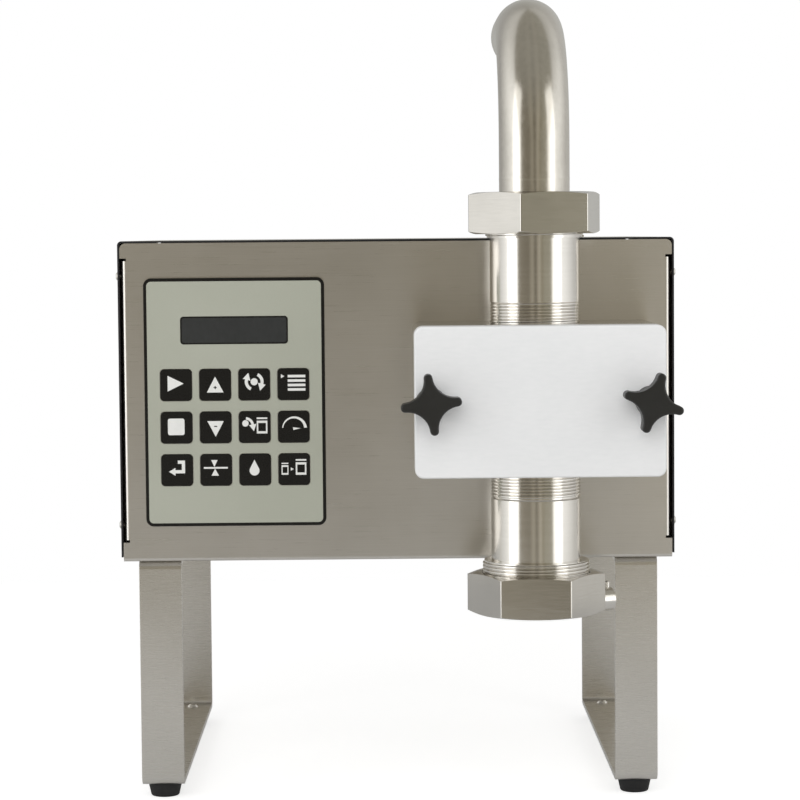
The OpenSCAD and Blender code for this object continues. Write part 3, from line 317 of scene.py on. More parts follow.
def soften(piece, width, segments=3):
    """Rounds the sharp edges."""
    modify(piece, "BEVEL", width=width, segments=segments, limit_method="ANGLE",
           angle_limit=SHARP_ANGLE, miter_outer="MITER_ARC")


def turned(name, profile, segments=96, axis="Z", place=(0, 0, 0)):
    """A profile of (radius, height) points turned about an axis, by extruding and scaling a ring.

    A profile that ends where it starts makes a hollow ring, and the ends of any other are filled.
    """
    focus(None)
    radius, height = profile[0]
    bpy.ops.mesh.primitive_circle_add(vertices=segments, radius=radius, location=(0, 0, height))
    piece = open_piece(name)
    for next_radius, next_height in profile[1:]:
        grow = next_radius / radius
        bpy.ops.mesh.extrude_region_move(TRANSFORM_OT_translate={"value": (0, 0, next_height - height)})
        bpy.ops.transform.resize(value=(grow, grow, 1), center_override=(0, 0, next_height))
        radius, height = next_radius, next_height
    bpy.ops.mesh.select_all(action="SELECT")
    bpy.ops.mesh.remove_doubles(threshold=MERGE)
    bpy.ops.mesh.fill_holes(sides=0)
    settle(piece)
    lean = {"X": Matrix.Rotation(math.pi / 2, 4, "Y"), "Y": Matrix.Rotation(-math.pi / 2, 4, "X"),
            "Z": Matrix.Identity(4), "-Z": Matrix.Rotation(math.pi, 4, "X")}[axis]
    piece.data.transform(Matrix.Translation(place) @ lean)
    return piece


def drill(piece, radius, start, end, place):
    """Cuts a round hole along Y, from one distance behind a place to another."""
    cut(piece, turned("drill", [(radius, start), (radius, end)], axis="Y", place=place))


def extruded(name, outline, pull):
    """A flat outline of points, filled and pulled to a solid."""
    focus(None)
    bpy.ops.mesh.primitive_circle_add(vertices=len(outline), fill_type="NGON")
    piece = open_piece(name)
    shape = bmesh.from_edit_mesh(piece.data)
    for vert, point in zip(shape.verts, outline):
        vert.co = point
    bmesh.update_edit_mesh(piece.data)
    bpy.ops.mesh.extrude_region_move(TRANSFORM_OT_translate={"value": pull})
    return settle(piece)


def joined(name, pieces):
    """Joins several solids into one piece."""
    focus(pieces[0])
    for piece in pieces:
        piece.select_set(True)
    bpy.ops.object.join()
    pieces[0].name = name
    pieces[0].data.name = name
    return pieces[0]


def copied(piece, name, shift):
    """A copy of a piece with its own mesh, moved by a shift or a matrix."""
    copy = piece.copy()
    copy.data = piece.data.copy()
    copy.name = name
    copy.data.name = name
    bpy.context.scene.collection.objects.link(copy)
    copy.data.transform(shift if isinstance(shift, Matrix) else Matrix.Translation(shift))
    return copy


def close_piece(piece, finish, body, slot, *nodes):
    """Smooths a piece's shading, gives it its finish and ties it to its CAD body."""
    focus(piece)
    bpy.ops.object.shade_smooth_by_angle(angle=SMOOTH_ANGLE)
    modify(piece, "WEIGHTED_NORMAL", keep_sharp=True)
    piece.data.materials.clear()
    piece.data.materials.append(finish)
    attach(piece, body)
    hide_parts(*nodes)


def arc(centre, radius, start, end, steps):
    """Points of an arc, from one angle to another in degrees."""
    angles = [math.radians(start + (end - start) * i / steps) for i in range(steps + 1)]
    return [(centre[0] + radius * math.cos(a), centre[1] + radius * math.sin(a)) for a in angles]


def round_rect(middle, width, height, radius, steps=8):
    """Points of a rectangle with round corners."""
    across = width / 2 - radius
    up = height / 2 - radius
    points = []
    for quarter, (x, z) in enumerate([(1, 1), (-1, 1), (-1, -1), (1, -1)]):
        corner = (middle[0] + x * across, middle[1] + z * up)
        points += arc(corner, radius, 90 * quarter, 90 * quarter + 90, steps)
    return points


def facing_front(points, y):
    """Flat points set upright, at a place along Y."""
    return [(x, y, z) for x, z in points]


def middle_of(node):
    """The middle of a node's box."""
    low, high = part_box(node)
    return (low + high) / 2


# Finishes

# Share of the fine grain in a finish's tint, and the ranges of its noise that are spread out
GRAIN_SHARE = 0.45
TINT_RANGE = (0.3, 0.7)
SHEEN_RANGE = (0.25, 0.75)


def add_node(tree, kind, inputs=None, **settings):
    """Adds a node with its settings, and links or sets its inputs."""
    node = tree.nodes.new(kind)
    for key, value in settings.items():
        setattr(node, key, value)
    for socket, source in (inputs or {}).items():
        if isinstance(source, bpy.types.NodeSocket):
            tree.links.new(source, node.inputs[socket])
        else:
            node.inputs[socket].default_value = source
    return node


def tints(thing):
    """The dark and the light tint of a finish, as they are set in the panel."""
    tones = bpy.context.scene.filler_colours
    return getattr(tones, thing + "_dark"), getattr(tones, thing + "_light")


def surface(name, tones, grain, rough, relief, cloud=45, **shader):
    """A finish with a grain: its streaks or specks change the tint, the roughness and the relief.

    tones are its dark and its light tint, grain is the length of a grain along X, Y and Z in mm,
    rough the range of the roughness, relief the depth of the grain in mm and cloud the size of broad
    changes of tint in mm.
    """
    if name in bpy.data.materials:
        return bpy.data.materials[name]
    material = bpy.data.materials.new(name)
    material.use_nodes = True
    tree = material.node_tree
    tree.nodes.clear()
    place = add_node(tree, "ShaderNodeTexCoord").outputs["Object"]
    fine = add_node(tree, "ShaderNodeMapping", {"Vector": place, "Scale": [1 / (g * MM) for g in grain]})
    grains = add_node(tree, "ShaderNodeTexNoise", {
        "Vector": fine.outputs["Vector"], "Scale": 1.0, "Detail": 4.0, "Roughness": 0.6})
    clouds = add_node(tree, "ShaderNodeTexNoise", {
        "Vector": place, "Scale": 1 / (cloud * MM), "Detail": 3.0, "Roughness": 0.5})
    blend = add_node(tree, "ShaderNodeMix", {
        0: GRAIN_SHARE, 2: clouds.outputs["Fac"], 3: grains.outputs["Fac"]}, data_type="FLOAT")
    spread = add_node(tree, "ShaderNodeMapRange", {
        "Value": blend.outputs[0], "From Min": TINT_RANGE[0], "From Max": TINT_RANGE[1]})
    tint = add_node(tree, "ShaderNodeMix", {
        0: spread.outputs["Result"], 6: tones[0], 7: tones[1]}, data_type="RGBA")
    sheen = add_node(tree, "ShaderNodeMapRange", {
        "Value": grains.outputs["Fac"], "From Min": SHEEN_RANGE[0], "From Max": SHEEN_RANGE[1],
        "To Min": rough[0], "To Max": rough[1]})
    bump = add_node(tree, "ShaderNodeBump", {
        "Strength": 1.0, "Distance": relief * MM, "Height": grains.outputs["Fac"]})
    inputs = {"Base Color": tint.outputs[2], "Roughness": sheen.outputs["Result"],
              "Normal": bump.outputs["Normal"]}
    inputs.update(shader)
    body = add_node(tree, "ShaderNodeBsdfPrincipled", inputs)
    add_node(tree, "ShaderNodeOutputMaterial", {"Surface": body.outputs["BSDF"]})
    return material


def panel_steel():
    """Stainless sheet with a belt-ground finish: short level scratches, drawn coarser than life to show."""
    return surface("stainless_sheet_ground_level", tints("steel"), grain=(40, 0.4, 0.3),
                   rough=(0.26, 0.36), relief=0.0012, Metallic=1.0, Anisotropic=0.85,
                   **{"Anisotropic Rotation": 0.25})


def cover_steel():
    """The same sheet with its scratches from front to rear, as on the bent cover."""
    return surface("stainless_sheet_ground_lengthwise", tints("steel"), grain=(0.3, 40, 0.3),
                   rough=(0.24, 0.34), relief=0.0012, Metallic=1.0)


def strap_steel():
    """Stainless flat bar with a satin finish: fine cross scratches and a soft, wide shine."""
    return surface("stainless_flat_bar_satin", tints("steel"), grain=(25, 0.5, 0.3),
                   rough=(0.24, 0.32), relief=0.0015, Metallic=1.0)


def tube_steel():
    """Turned stainless tube: rings from the lathe and a clear, upright shine."""
    return surface("stainless_tube_turned", tints("steel"), grain=(60, 60, 0.4),
                   rough=(0.13, 0.2), relief=0.0006, Metallic=1.0)


def pipe_steel():
    """Drawn and pickled stainless pipe: a silky shine with faint clouds from pickling."""
    return surface("stainless_pipe_pickled", tints("pipe"), grain=(2.5, 2.5, 3.5),
                   rough=(0.16, 0.24), relief=0.0012, cloud=18, Metallic=1.0)


def nut_steel():
    """Milled stainless bar: level cutter marks on flat faces with a plain, pale shine."""
    return surface("stainless_bar_milled", tints("nut"), grain=(14, 14, 0.5),
                   rough=(0.1, 0.16), relief=0.0006, cloud=25, Metallic=1.0)


def block_steel():
    """Ground stainless block: level grinding marks."""
    return surface("stainless_block_ground", tints("steel"), grain=(30, 30, 0.4),
                   rough=(0.18, 0.26), relief=0.001, Metallic=1.0)


def screw_steel():
    """Cold formed stainless screws: smooth and bright."""
    return surface("stainless_screw_formed", tints("steel"), grain=(1.2, 1.2, 1.2),
                   rough=(0.2, 0.3), relief=0.002, cloud=6, Metallic=1.0)


def white_acetal():
    """Machined acetal sheet: milky white with faint cutter marks and a soft shine."""
    return surface("acetal_sheet_machined", tints("plate"), grain=(6, 6, 1.5),
                   rough=(0.34, 0.46), relief=0.003, cloud=60, IOR=1.48)


def black_nylon():
    """Moulded glass-filled nylon: near black with a fine spark-eroded grain."""
    return surface("nylon_moulded_black", tints("knob"), grain=(0.6, 0.6, 0.6),
                   rough=(0.38, 0.52), relief=0.02, cloud=9, IOR=1.53)


def black_rubber():
    """Moulded black rubber: dull, with a faint bloom."""
    return surface("rubber_moulded_black", tints("rubber"), grain=(0.8, 0.8, 0.8),
                   rough=(0.62, 0.8), relief=0.02, cloud=8, IOR=1.52)


def keypad_film():
    """Printed polyester film: grey-green ink behind a velvet grain."""
    return surface("polyester_film_printed", tints("film"), grain=(0.5, 0.5, 0.5),
                   rough=(0.4, 0.5), relief=0.006, cloud=70, IOR=1.6)


def key_film():
    """Printed polyester film: black ink behind a velvet grain."""
    return surface("polyester_film_black", tints("key"), grain=(0.5, 0.5, 0.5),
                   rough=(0.24, 0.32), relief=0.003, cloud=20, IOR=1.45)


def white_ink():
    """Screen-printed white ink: flat and slightly uneven."""
    return surface("screen_ink_white", tints("ink"), grain=(0.4, 0.4, 0.4),
                   rough=(0.5, 0.6), relief=0.002, cloud=5, IOR=1.5)


def smoked_window():
    """Smoked polycarbonate window: near black and smooth, with the display's dark glass behind it."""
    return surface("polycarbonate_smoked", tints("window"), grain=(3.5, 3.5, 5.5),
                   rough=(0.1, 0.16), relief=0.001, cloud=25, IOR=1.58)


def white_gasket():
    """Cut white silicone sheet: dull and slightly soft in tone."""
    return surface("silicone_sheet_white", tints("gasket"), grain=(1, 1, 1),
                   rough=(0.5, 0.62), relief=0.01, cloud=10, IOR=1.43)


def brown_seal():
    """Moulded brown sealing rubber: dull, with fine specks."""
    return surface("rubber_moulded_brown", tints("seal"), grain=(0.6, 0.6, 0.6),
                   rough=(0.5, 0.65), relief=0.015, cloud=8, IOR=1.4)


def board_mask():
    """Circuit board with solder mask: glossy green over faint tracks."""
    return surface("solder_mask_green", tints("board"), grain=(1.2, 1.2, 1.2),
                   rough=(0.2, 0.34), relief=0.02, cloud=12, IOR=1.5)


def turned_brass():
    """Turned brass: warm, with fine lathe rings."""
    return surface("brass_turned", tints("brass"), grain=(12, 0.5, 12),
                   rough=(0.2, 0.32), relief=0.003, cloud=10, Metallic=1.0)


def zinc_housing():
    """Zinc-plated sheet housing: grey with a faint spangle."""
    return surface("steel_sheet_zinc_plated", tints("zinc"), grain=(5, 5, 5),
                   rough=(0.32, 0.46), relief=0.003, cloud=14, Metallic=1.0)


def cast_aluminium():
    """Die-cast aluminium: pale grey with a fine cast grain."""
    return surface("aluminium_die_cast", tints("casting"), grain=(0.9, 0.9, 0.9),
                   rough=(0.42, 0.58), relief=0.02, cloud=20, Metallic=1.0)


def motor_enamel():
    """Baked black enamel on a steel can: smooth with a slight orange peel."""
    return surface("enamel_baked_black", tints("enamel"), grain=(2.2, 2.2, 2.2),
                   rough=(0.24, 0.34), relief=0.01, cloud=30, IOR=1.52)


SOLID_FINISHES = {
    panel_steel: ["chassis_tray"],
    cover_steel: ["top_cover", "motor_bracket"],
    tube_steel: ["nozzle_ring", "clamp_screw", "cover_studs", "drive_shaft", "idler_shaft", "gearbox_shaft"],
    block_steel: ["pump_body"],
    screw_steel: ["pump_bolts", "motor_screws"],
    white_acetal: ["drive_gear", "idler_gear"],
    white_gasket: ["inlet_gasket", "outlet_gasket"],
    black_nylon: ["mains_inlet", "switch_frame", "power_switch"],
    # cover_seal is a black strip along the cover's front edge, which draws that edge as a dark line
    black_rubber: ["cover_seal", "cover_ring"],
    brown_seal: ["shaft_seal"],
    key_film: ["keypad_backing"],
    keypad_film: ["keypad_overlay"],
    smoked_window: ["display_window"],
    board_mask: ["control_board", "display_module"],
    turned_brass: ["shaft_bushes", "board_spacers"],
    zinc_housing: ["power_supply"],
    cast_aluminium: ["gearbox", "shaft_coupling", "pedal_socket"],
    motor_enamel: ["motor"],
}


class FILLER_OT_solids(bpy.types.Operator):
    """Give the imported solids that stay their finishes"""

    bl_idname = "filler.solids"
    bl_label = "Finish the Solids"

    def execute(self, context):
        for finish, nodes in SOLID_FINISHES.items():
            for node in nodes:
                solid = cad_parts[node]
                solid.data.materials.clear()
                solid.data.materials.append(finish())
        return {"FINISHED"}


# Pieces

def star_outline(span, lobe, waist):
    """Points of a four-lobed star: round tips joined by hollow arcs that touch the waist."""
    tip = span / 2 - lobe
    hollow_at = (tip ** 2 + lobe ** 2 - waist ** 2) / (math.sqrt(2) * (tip + lobe) - 2 * waist)
    hollow = hollow_at - waist
    hollow_middle = (hollow_at / math.sqrt(2), hollow_at / math.sqrt(2))
    start = math.degrees(math.atan2(lobe - hollow_middle[1], tip - hollow_middle[0])) % 360
    end = 450 - start
    lobe_points = arc((tip, 0), lobe, -90, 90, 10)
    hollow_points = arc(hollow_middle, hollow, start, end, 14)[1:-1]
    points = []
    for quarter in range(4):
        spin = Matrix.Rotation(quarter * math.pi / 2, 2)
        points += [tuple(spin @ Vector(point)) for point in lobe_points + hollow_points]
    return points


class FILLER_OT_star_knobs(bpy.types.Operator):
    """Model the two star knobs with their hubs and blind bores"""

    bl_idname = "filler.star_knobs"
    bl_label = "Star Knobs"

    def execute(self, context):
        size = sizes()
        for side, spin in (("left", size.left_knob_turn), ("right", size.right_knob_turn)):
            node = side + "_knob"
            low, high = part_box(node)
            middle = middle_of(node)
            turn_by = Matrix.Rotation(spin, 2)
            waist = size.knob_waist / 2
            star = [turn_by @ Vector(point) for point in star_outline(size.knob_span, size.knob_lobe, waist)]
            outline = [(middle.x + p.x, low.y, middle.z + p.y) for p in star]
            grip = extruded("star_knob_" + side, outline, (0, size.knob_grip, 0))
            soften(grip, size.knob_edge)
            overlap = 0.5 * MM
            chamfer = 0.4 * MM
            end = high.y - low.y - size.knob_grip
            hub = turned("hub", [(waist, -overlap), (waist, end - chamfer), (waist - chamfer, end)],
                         axis="Y", place=(middle.x, low.y + size.knob_grip, middle.z))
            cut(grip, hub, "UNION")
            drill(grip, size.knob_bore / 2, size.knob_cap, high.y - low.y + MM, (middle.x, low.y, middle.z))
            close_piece(settle(grip), black_nylon(), node, "black_plastic", node)
        return {"FINISHED"}


class FILLER_OT_pump_plate(bpy.types.Operator):
    """Model the pump's white front plate with its stud holes and shaft pockets"""

    bl_idname = "filler.pump_plate"
    bl_label = "Pump Plate"

    def execute(self, context):
        size = sizes()
        low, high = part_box("pump_cover")
        middle = (low + high) / 2
        outline = round_rect((middle.x, middle.z), high.x - low.x, high.z - low.z, size.plate_corner)
        plate = extruded("pump_front_plate", facing_front(outline, low.y), (0, high.y - low.y, 0))
        bpy.ops.object.mode_set(mode="EDIT")
        pick(plate, "EDGE", lambda edge: all(abs(v.co.y - low.y) < MERGE for v in edge.verts))
        bpy.ops.mesh.bevel(offset=size.plate_edge, segments=4, affect="EDGES")
        bpy.ops.object.mode_set(mode="OBJECT")
        for node in ("left_knob", "right_knob"):
            place = (middle_of(node).x, low.y - MM, middle.z)
            drill(plate, size.stud_hole / 2, 0, high.y - low.y + 2 * MM, place)
        for side in (-1, 1):
            place = (middle.x + side * size.shaft_spacing / 2, high.y - size.shaft_pocket_depth, middle.z)
            drill(plate, size.shaft_pocket / 2, 0, 2 * size.shaft_pocket_depth, place)
        close_piece(settle(plate), white_acetal(), "pump_cover", "white_plastic", "pump_cover")
        return {"FINISHED"}


def thread(radius, start, end, pitch, depth):
    """A helical ridge with a flat crest on a tube's core, with narrow grooves between its turns."""
    root = radius - THREAD_ROOT * depth
    focus(None)
    bpy.ops.mesh.primitive_circle_add(vertices=4)
    ridge = open_piece("ridge")
    shape = bmesh.from_edit_mesh(ridge.data)
    section = [(root, start), (radius, start + CREST_START * pitch),
               (radius, start + CREST_END * pitch), (root, start + pitch)]
    for vert, (reach, height) in zip(shape.verts, section):
        vert.co = (reach, 0, height)
    bmesh.update_edit_mesh(ridge.data)
    bpy.ops.object.mode_set(mode="OBJECT")
    turns = round((end - start) / pitch) - 1
    modify(ridge, "SCREW", axis="Z", angle=2 * math.pi, screw_offset=pitch, iterations=turns,
           steps=96, render_steps=96, use_merge_vertices=True, merge_threshold=MERGE)
    bpy.ops.object.mode_set(mode="EDIT")
    bpy.ops.mesh.select_all(action="SELECT")
    bpy.ops.mesh.fill_holes(sides=4)
    return settle(ridge)


class FILLER_OT_tubes(bpy.types.Operator):
    """Model the threaded tubes above and below the pump"""

    bl_idname = "filler.tubes"
    bl_label = "Threaded Tubes"

    def execute(self, context):
        size = sizes()
        block_low, block_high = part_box("pump_body")
        for node, upright, thread_show, collar_show in (
                ("inlet_tube", True, size.inlet_thread, size.inlet_collar_show),
                ("outlet_tube", False, size.outlet_thread, size.outlet_collar_show)):
            low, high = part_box(node)
            middle = (low + high) / 2
            foot = block_high.z - low.z if upright else high.z - block_low.z
            top = high.z - low.z
            collar = (high.x - low.x) / 2
            collar_z = top - collar_show - size.collar_hold
            wall = size.tube_width / 2
            bore = size.tube_bore / 2
            rim = 0.6 * MM
            core = wall - size.thread_depth
            neck = collar - size.collar_depth
            ends = foot + thread_show
            profile = [(bore, 0), (wall - rim, 0), (wall, rim), (wall, foot - 2 * rim), (core, foot - rim),
                       (core, ends), (wall, ends + size.thread_depth), (wall, collar_z), (neck, collar_z),
                       (neck, top), (bore + rim, top), (bore, top - rim), (bore, 0)]
            solids = [turned("threaded_" + node, profile, segments=128),
                      thread(wall, foot - rim, ends + rim, size.thread_pitch, size.thread_depth),
                      thread(collar, collar_z, top, size.collar_pitch, size.collar_depth)]
            tube = joined("threaded_" + node, solids)
            flip = Matrix.Identity(4) if upright else Matrix.Rotation(math.pi, 4, "X")
            base = low.z if upright else high.z
            tube.data.transform(Matrix.Translation((middle.x, middle.y, base)) @ flip)
            close_piece(tube, tube_steel(), "frame", "turned_steel", node)
        return {"FINISHED"}


class FILLER_OT_union_nuts(bpy.types.Operator):
    """Model the two hexagon union nuts with chamfered ends and stepped bores"""

    bl_idname = "filler.union_nuts"
    bl_label = "Union Nuts"

    def execute(self, context):
        size = sizes()
        for node, upright, spin, step, wide, narrow in (
                ("inlet_nut", True, size.inlet_nut_turn, size.inlet_nut_step,
                 size.inlet_nut_bore, size.inlet_nut_hole),
                ("outlet_nut", False, size.outlet_nut_turn, size.outlet_nut_step,
                 size.outlet_nut_bore, size.outlet_nut_hole)):
            low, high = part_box(node)
            middle = (low + high) / 2
            height = high.z - low.z
            nut = self.hexagon(size, "union_" + node, middle, height, spin)
            face = size.nut_flats / 2 - size.nut_land
            corner = size.nut_flats / math.sqrt(3)
            slope = (corner - face) * math.tan(size.nut_slope)
            over = MM
            lens = turned("lens", [(face, 0), (corner + over, slope + over * math.tan(size.nut_slope)),
                                   (corner + over, height - slope - over * math.tan(size.nut_slope)),
                                   (face, height)], place=(middle.x, middle.y, low.z))
            cut(nut, lens, "INTERSECT")
            rim = 0.5 * MM
            plug = turned("plug", [(wide / 2 + rim, -over), (wide / 2 + rim, 0),
                                   (wide / 2, rim), (wide / 2, step),
                                   (narrow / 2, step), (narrow / 2, height - rim),
                                   (narrow / 2 + rim, height), (narrow / 2 + rim, height + over)],
                          axis="Z" if upright else "-Z",
                          place=(middle.x, middle.y, low.z if upright else high.z))
            cut(nut, plug)
            if not upright:
                self.cross_hole(size, nut, middle, low)
            close_piece(settle(nut), nut_steel(), node, "turned_steel", node)
        return {"FINISHED"}

    def hexagon(self, size, name, middle, height, spin):
        """A hexagon bar with its upright edges rounded."""
        focus(None)
        bpy.ops.mesh.primitive_cylinder_add(
            vertices=6, radius=size.nut_flats / math.sqrt(3), depth=height, end_fill_type="NGON",
            location=middle, rotation=(0, 0, spin - math.pi / 2))
        nut = open_piece(name)
        pick(nut, "EDGE", lambda edge: abs(edge.verts[0].co.z - edge.verts[1].co.z) > height / 2)
        bpy.ops.mesh.bevel(offset=size.nut_edge, segments=3, affect="EDGES")
        return settle(nut)

    def cross_hole(self, size, nut, middle, low):
        """Drills the hole for the clamp screw, on one side of the nut."""
        radius = size.clamp_hole / 2
        cutter = turned("cutter", [(radius, 0), (radius, size.nut_flats)], segments=32, axis="X")
        swing = Matrix.Rotation(size.clamp_turn, 4, "Z")
        cutter.data.transform(Matrix.Translation((middle.x, middle.y, low.z + size.clamp_height)) @ swing)
        cut(nut, cutter)


class FILLER_OT_inlet_pipe(bpy.types.Operator):
    """Model the bent inlet pipe with its flange and weld seam"""

    bl_idname = "filler.inlet_pipe"
    bl_label = "Inlet Pipe"

    def execute(self, context):
        size = sizes()
        low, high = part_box("inlet_pipe")
        column = middle_of("inlet_tube")
        radius = size.pipe_width / 2
        level = high.z - radius
        foot = low.z + size.ferrule_height / 2
        bend_start = level - size.pipe_bend
        focus(None)
        bpy.ops.mesh.primitive_circle_add(vertices=96, radius=radius, location=(column.x, column.y, foot))
        pipe = open_piece("bent_inlet_pipe")
        bpy.ops.mesh.extrude_region_move(TRANSFORM_OT_translate={"value": (0, 0, bend_start - foot)})
        bpy.ops.mesh.spin(steps=48, angle=math.pi / 2, axis=(1, 0, 0),
                          center=(column.x, column.y + size.pipe_bend, bend_start))
        run = high.y - column.y - size.pipe_bend
        bpy.ops.mesh.extrude_region_move(TRANSFORM_OT_translate={"value": (0, run, 0)})
        settle(pipe)
        modify(pipe, "SOLIDIFY", thickness=size.pipe_wall, offset=-1, use_even_offset=True)
        bore = radius - size.pipe_wall
        wide = size.ferrule_width / 2
        thick = size.ferrule_height
        rim = 0.4 * MM
        flange = turned("flange", [(bore, 0), (wide - rim, 0), (wide, rim), (wide, thick - rim),
                                   (wide - rim, thick), (bore, thick), (bore, 0)],
                        place=(column.x, column.y, low.z))
        nut_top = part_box("inlet_nut")[1].z
        weld_sunk = 0.05 * MM
        weld_root = 0.4 * MM
        sunk = radius - weld_sunk
        sweep = [math.radians(a) for a in range(0, 181, 30)]
        seam = [(sunk + size.weld_bead * math.sin(a), -size.weld_width / 2 * math.cos(a)) for a in sweep]
        weld = turned("weld", seam + [(sunk - weld_root, 0), seam[0]],
                      place=(column.x, column.y, nut_top + size.weld_height))
        pipe = joined("bent_inlet_pipe", [pipe, flange, weld])
        close_piece(pipe, pipe_steel(), "inlet_pipe", "turned_steel", "inlet_pipe")
        return {"FINISHED"}


class FILLER_OT_strap_legs(bpy.types.Operator):
    """Model the two legs as bent straps with rounded cut edges"""

    bl_idname = "filler.strap_legs"
    bl_label = "Strap Legs"

    def execute(self, context):
        size = sizes()
        for side in ("left", "right"):
            node = side + "_leg"
            low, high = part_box(node)
            outline = self.loop(size, high.y - low.y, high.z - low.z)
            points = [(low.x, low.y + y, low.z + z) for y, z in outline]
            leg = extruded("strap_leg_" + side, points, (high.x - low.x, 0, 0))
            soften(leg, size.strap_edge, segments=2)
            close_piece(settle(leg), strap_steel(), "frame", "strap_steel", node)
        return {"FINISHED"}

    def loop(self, size, depth, height):
        """The strap's side view: a rectangle with round corners, open along the top between two tabs."""
        outer = size.strap_bend
        inner = size.strap_bend - size.strap_thickness
        corners = [((outer, height - outer), 90), ((outer, outer), 180),
                   ((depth - outer, outer), 270), ((depth - outer, height - outer), 360)]
        outside = [(size.strap_tab, height)]
        inside = [(size.strap_tab, height - size.strap_thickness)]
        for middle, start in corners:
            outside += arc(middle, outer, start, start + 90, 10)
            inside += arc(middle, inner, start, start + 90, 10)
        outside.append((depth - size.strap_tab, height))
        inside.append((depth - size.strap_tab, height - size.strap_thickness))
        return outside + inside[::-1]


class FILLER_OT_rubber_feet(bpy.types.Operator):
    """Model one tapered rubber foot and copy it under each leg"""

    bl_idname = "filler.rubber_feet"
    bl_label = "Rubber Feet"

    def execute(self, context):
        size = sizes()
        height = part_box("rubber_feet")[1].z
        bottom = size.foot_bottom / 2
        top = size.foot_top / 2
        edge = 1.2 * MM
        hole = 2 * MM
        dent = 2 * MM
        dent_lip = 0.5 * MM
        rim = 0.2 * MM
        profile = [(hole, dent), (0.4 * bottom, dent_lip), (0.5 * bottom, 0)]
        sweep = [math.radians(a) for a in (0, 30, 60, 80)]
        profile += [(bottom - edge + edge * math.sin(a), edge - edge * math.cos(a)) for a in sweep]
        profile += [(top - rim, height - 3 * rim), (top - 2 * rim, height), (hole, height), (hole, dent)]
        foot = turned("rubber_foot", profile, segments=64)
        places = enumerate(leg_places(size.foot_inset))
        feet = [copied(foot, f"rubber_foot_{i + 1}", (x, y, 0)) for i, (x, y) in places]
        bpy.data.objects.remove(foot)
        for piece in feet:
            close_piece(piece, black_rubber(), "frame", "black_rubber", "rubber_feet")
        return {"FINISHED"}


def leg_places(inset):
    """Four places on the legs' middle lines, each at a distance from the end of its leg."""
    for node in ("left_leg", "right_leg"):
        low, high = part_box(node)
        for y in (low.y + inset, high.y - inset):
            yield (low.x + high.x) / 2, y


def button_screw(name, head, height, shank, reach):
    """A dome-headed screw along Z with a hexagon socket, its head above the origin."""
    dome = (head ** 2 / 4 + height ** 2) / (2 * height)
    half = math.asin(min(1, head / 2 / dome))
    steps = 8
    sweep = [half * i / steps for i in range(steps, 0, -1)]
    curve = [(dome * math.sin(a), height - dome + dome * math.cos(a)) for a in sweep]
    edge = 0.1 * MM
    tip = 0.02 * head
    profile = [(shank / 2, -reach), (shank / 2, 0), (head / 2 - edge, 0)] + curve + [(tip, height)]
    screw = turned(name, profile, segments=48)
    focus(None)
    bpy.ops.mesh.primitive_cylinder_add(vertices=6, radius=SOCKET_RADIUS * head, depth=height,
                                        location=(0, 0, SOCKET_MIDDLE * height))
    cut(screw, bpy.context.object)
    return settle(screw)


class FILLER_OT_screws(bpy.types.Operator):
    """Model the dome-headed screws of the cover, the legs and the feet"""

    bl_idname = "filler.screws"
    bl_label = "Screws"

    def execute(self, context):
        size = sizes()
        self.side_screws(size)
        self.leg_screws(size)
        self.foot_screws(size)
        return {"FINISHED"}

    def spread(self, screw, node, places):
        """Copies a screw to its places, as one group of solids."""
        copies = [copied(screw, f"{node}_{i}", place) for i, place in enumerate(places)]
        bpy.data.objects.remove(screw)
        group = joined("dome_" + node, copies)
        close_piece(group, screw_steel(), "frame", "screw_steel", node)

    def side_screws(self, size):
        """Four screws on each side of the cover."""
        low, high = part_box("top_cover")
        tray_low, tray_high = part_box("chassis_tray")
        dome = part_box("cover_screws")[1].x - high.x
        screw = button_screw("side_screw", size.side_screw_head, dome,
                             size.side_screw_shank, size.side_screw_reach)
        places = []
        for side, angle in ((low.x, -math.pi / 2), (high.x, math.pi / 2)):
            for y in (tray_low.y + size.side_screw_depth, tray_high.y - size.side_screw_depth):
                for z in (tray_low.z + size.side_screw_edge, high.z - size.side_screw_edge):
                    places.append(Matrix.Translation((side, y, z)) @ Matrix.Rotation(angle, 4, "Y"))
        self.spread(screw, "cover_screws", places)

    def leg_screws(self, size):
        """Screws that hold the legs' tabs to the case, with their heads down."""
        low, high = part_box("leg_screws")
        dome = size.leg_screw_dome
        screw = button_screw("leg_screw", size.leg_screw_head, dome, size.leg_screw_shank,
                             high.z - low.z - dome)
        flip = Matrix.Rotation(math.pi, 4, "X")
        places = [Matrix.Translation((x, y, low.z + dome)) @ flip
                  for x, y in leg_places(size.tab_screw_inset)]
        self.spread(screw, "leg_screws", places)

    def foot_screws(self, size):
        """Screws that hold the feet, with their heads on the legs."""
        low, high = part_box("foot_screws")
        dome = size.foot_screw_dome
        screw = button_screw("foot_screw", size.foot_screw_head, dome, size.foot_screw_shank,
                             high.z - low.z - dome)
        places = [Matrix.Translation((x, y, high.z - dome)) for x, y in leg_places(size.foot_inset)]
        self.spread(screw, "foot_screws", places)


class FILLER_OT_keys(bpy.types.Operator):
    """Model one raised key and copy it to its twelve places"""

    bl_idname = "filler.keys"
    bl_label = "Keys"

    def execute(self, context):
        size = sizes()
        low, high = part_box(KEYS[0])
        outline = round_rect((0, 0), high.x - low.x, high.z - low.z, size.key_corner)
        key = extruded("key", facing_front(outline, low.y), (0, high.y - low.y, 0))
        soften(key, size.key_edge)
        settle(key)
        for node in KEYS:
            middle = middle_of(node)
            piece = copied(key, "pad_" + node, (middle.x, 0, middle.z))
            close_piece(piece, key_film(), node, "key_film", node)
        bpy.data.objects.remove(key)
        return {"FINISHED"}


def bar(x, z, width, height):
    """Points of a plain bar about its middle."""
    return [(x - width / 2, z - height / 2), (x + width / 2, z - height / 2),
            (x + width / 2, z + height / 2), (x - width / 2, z + height / 2)]


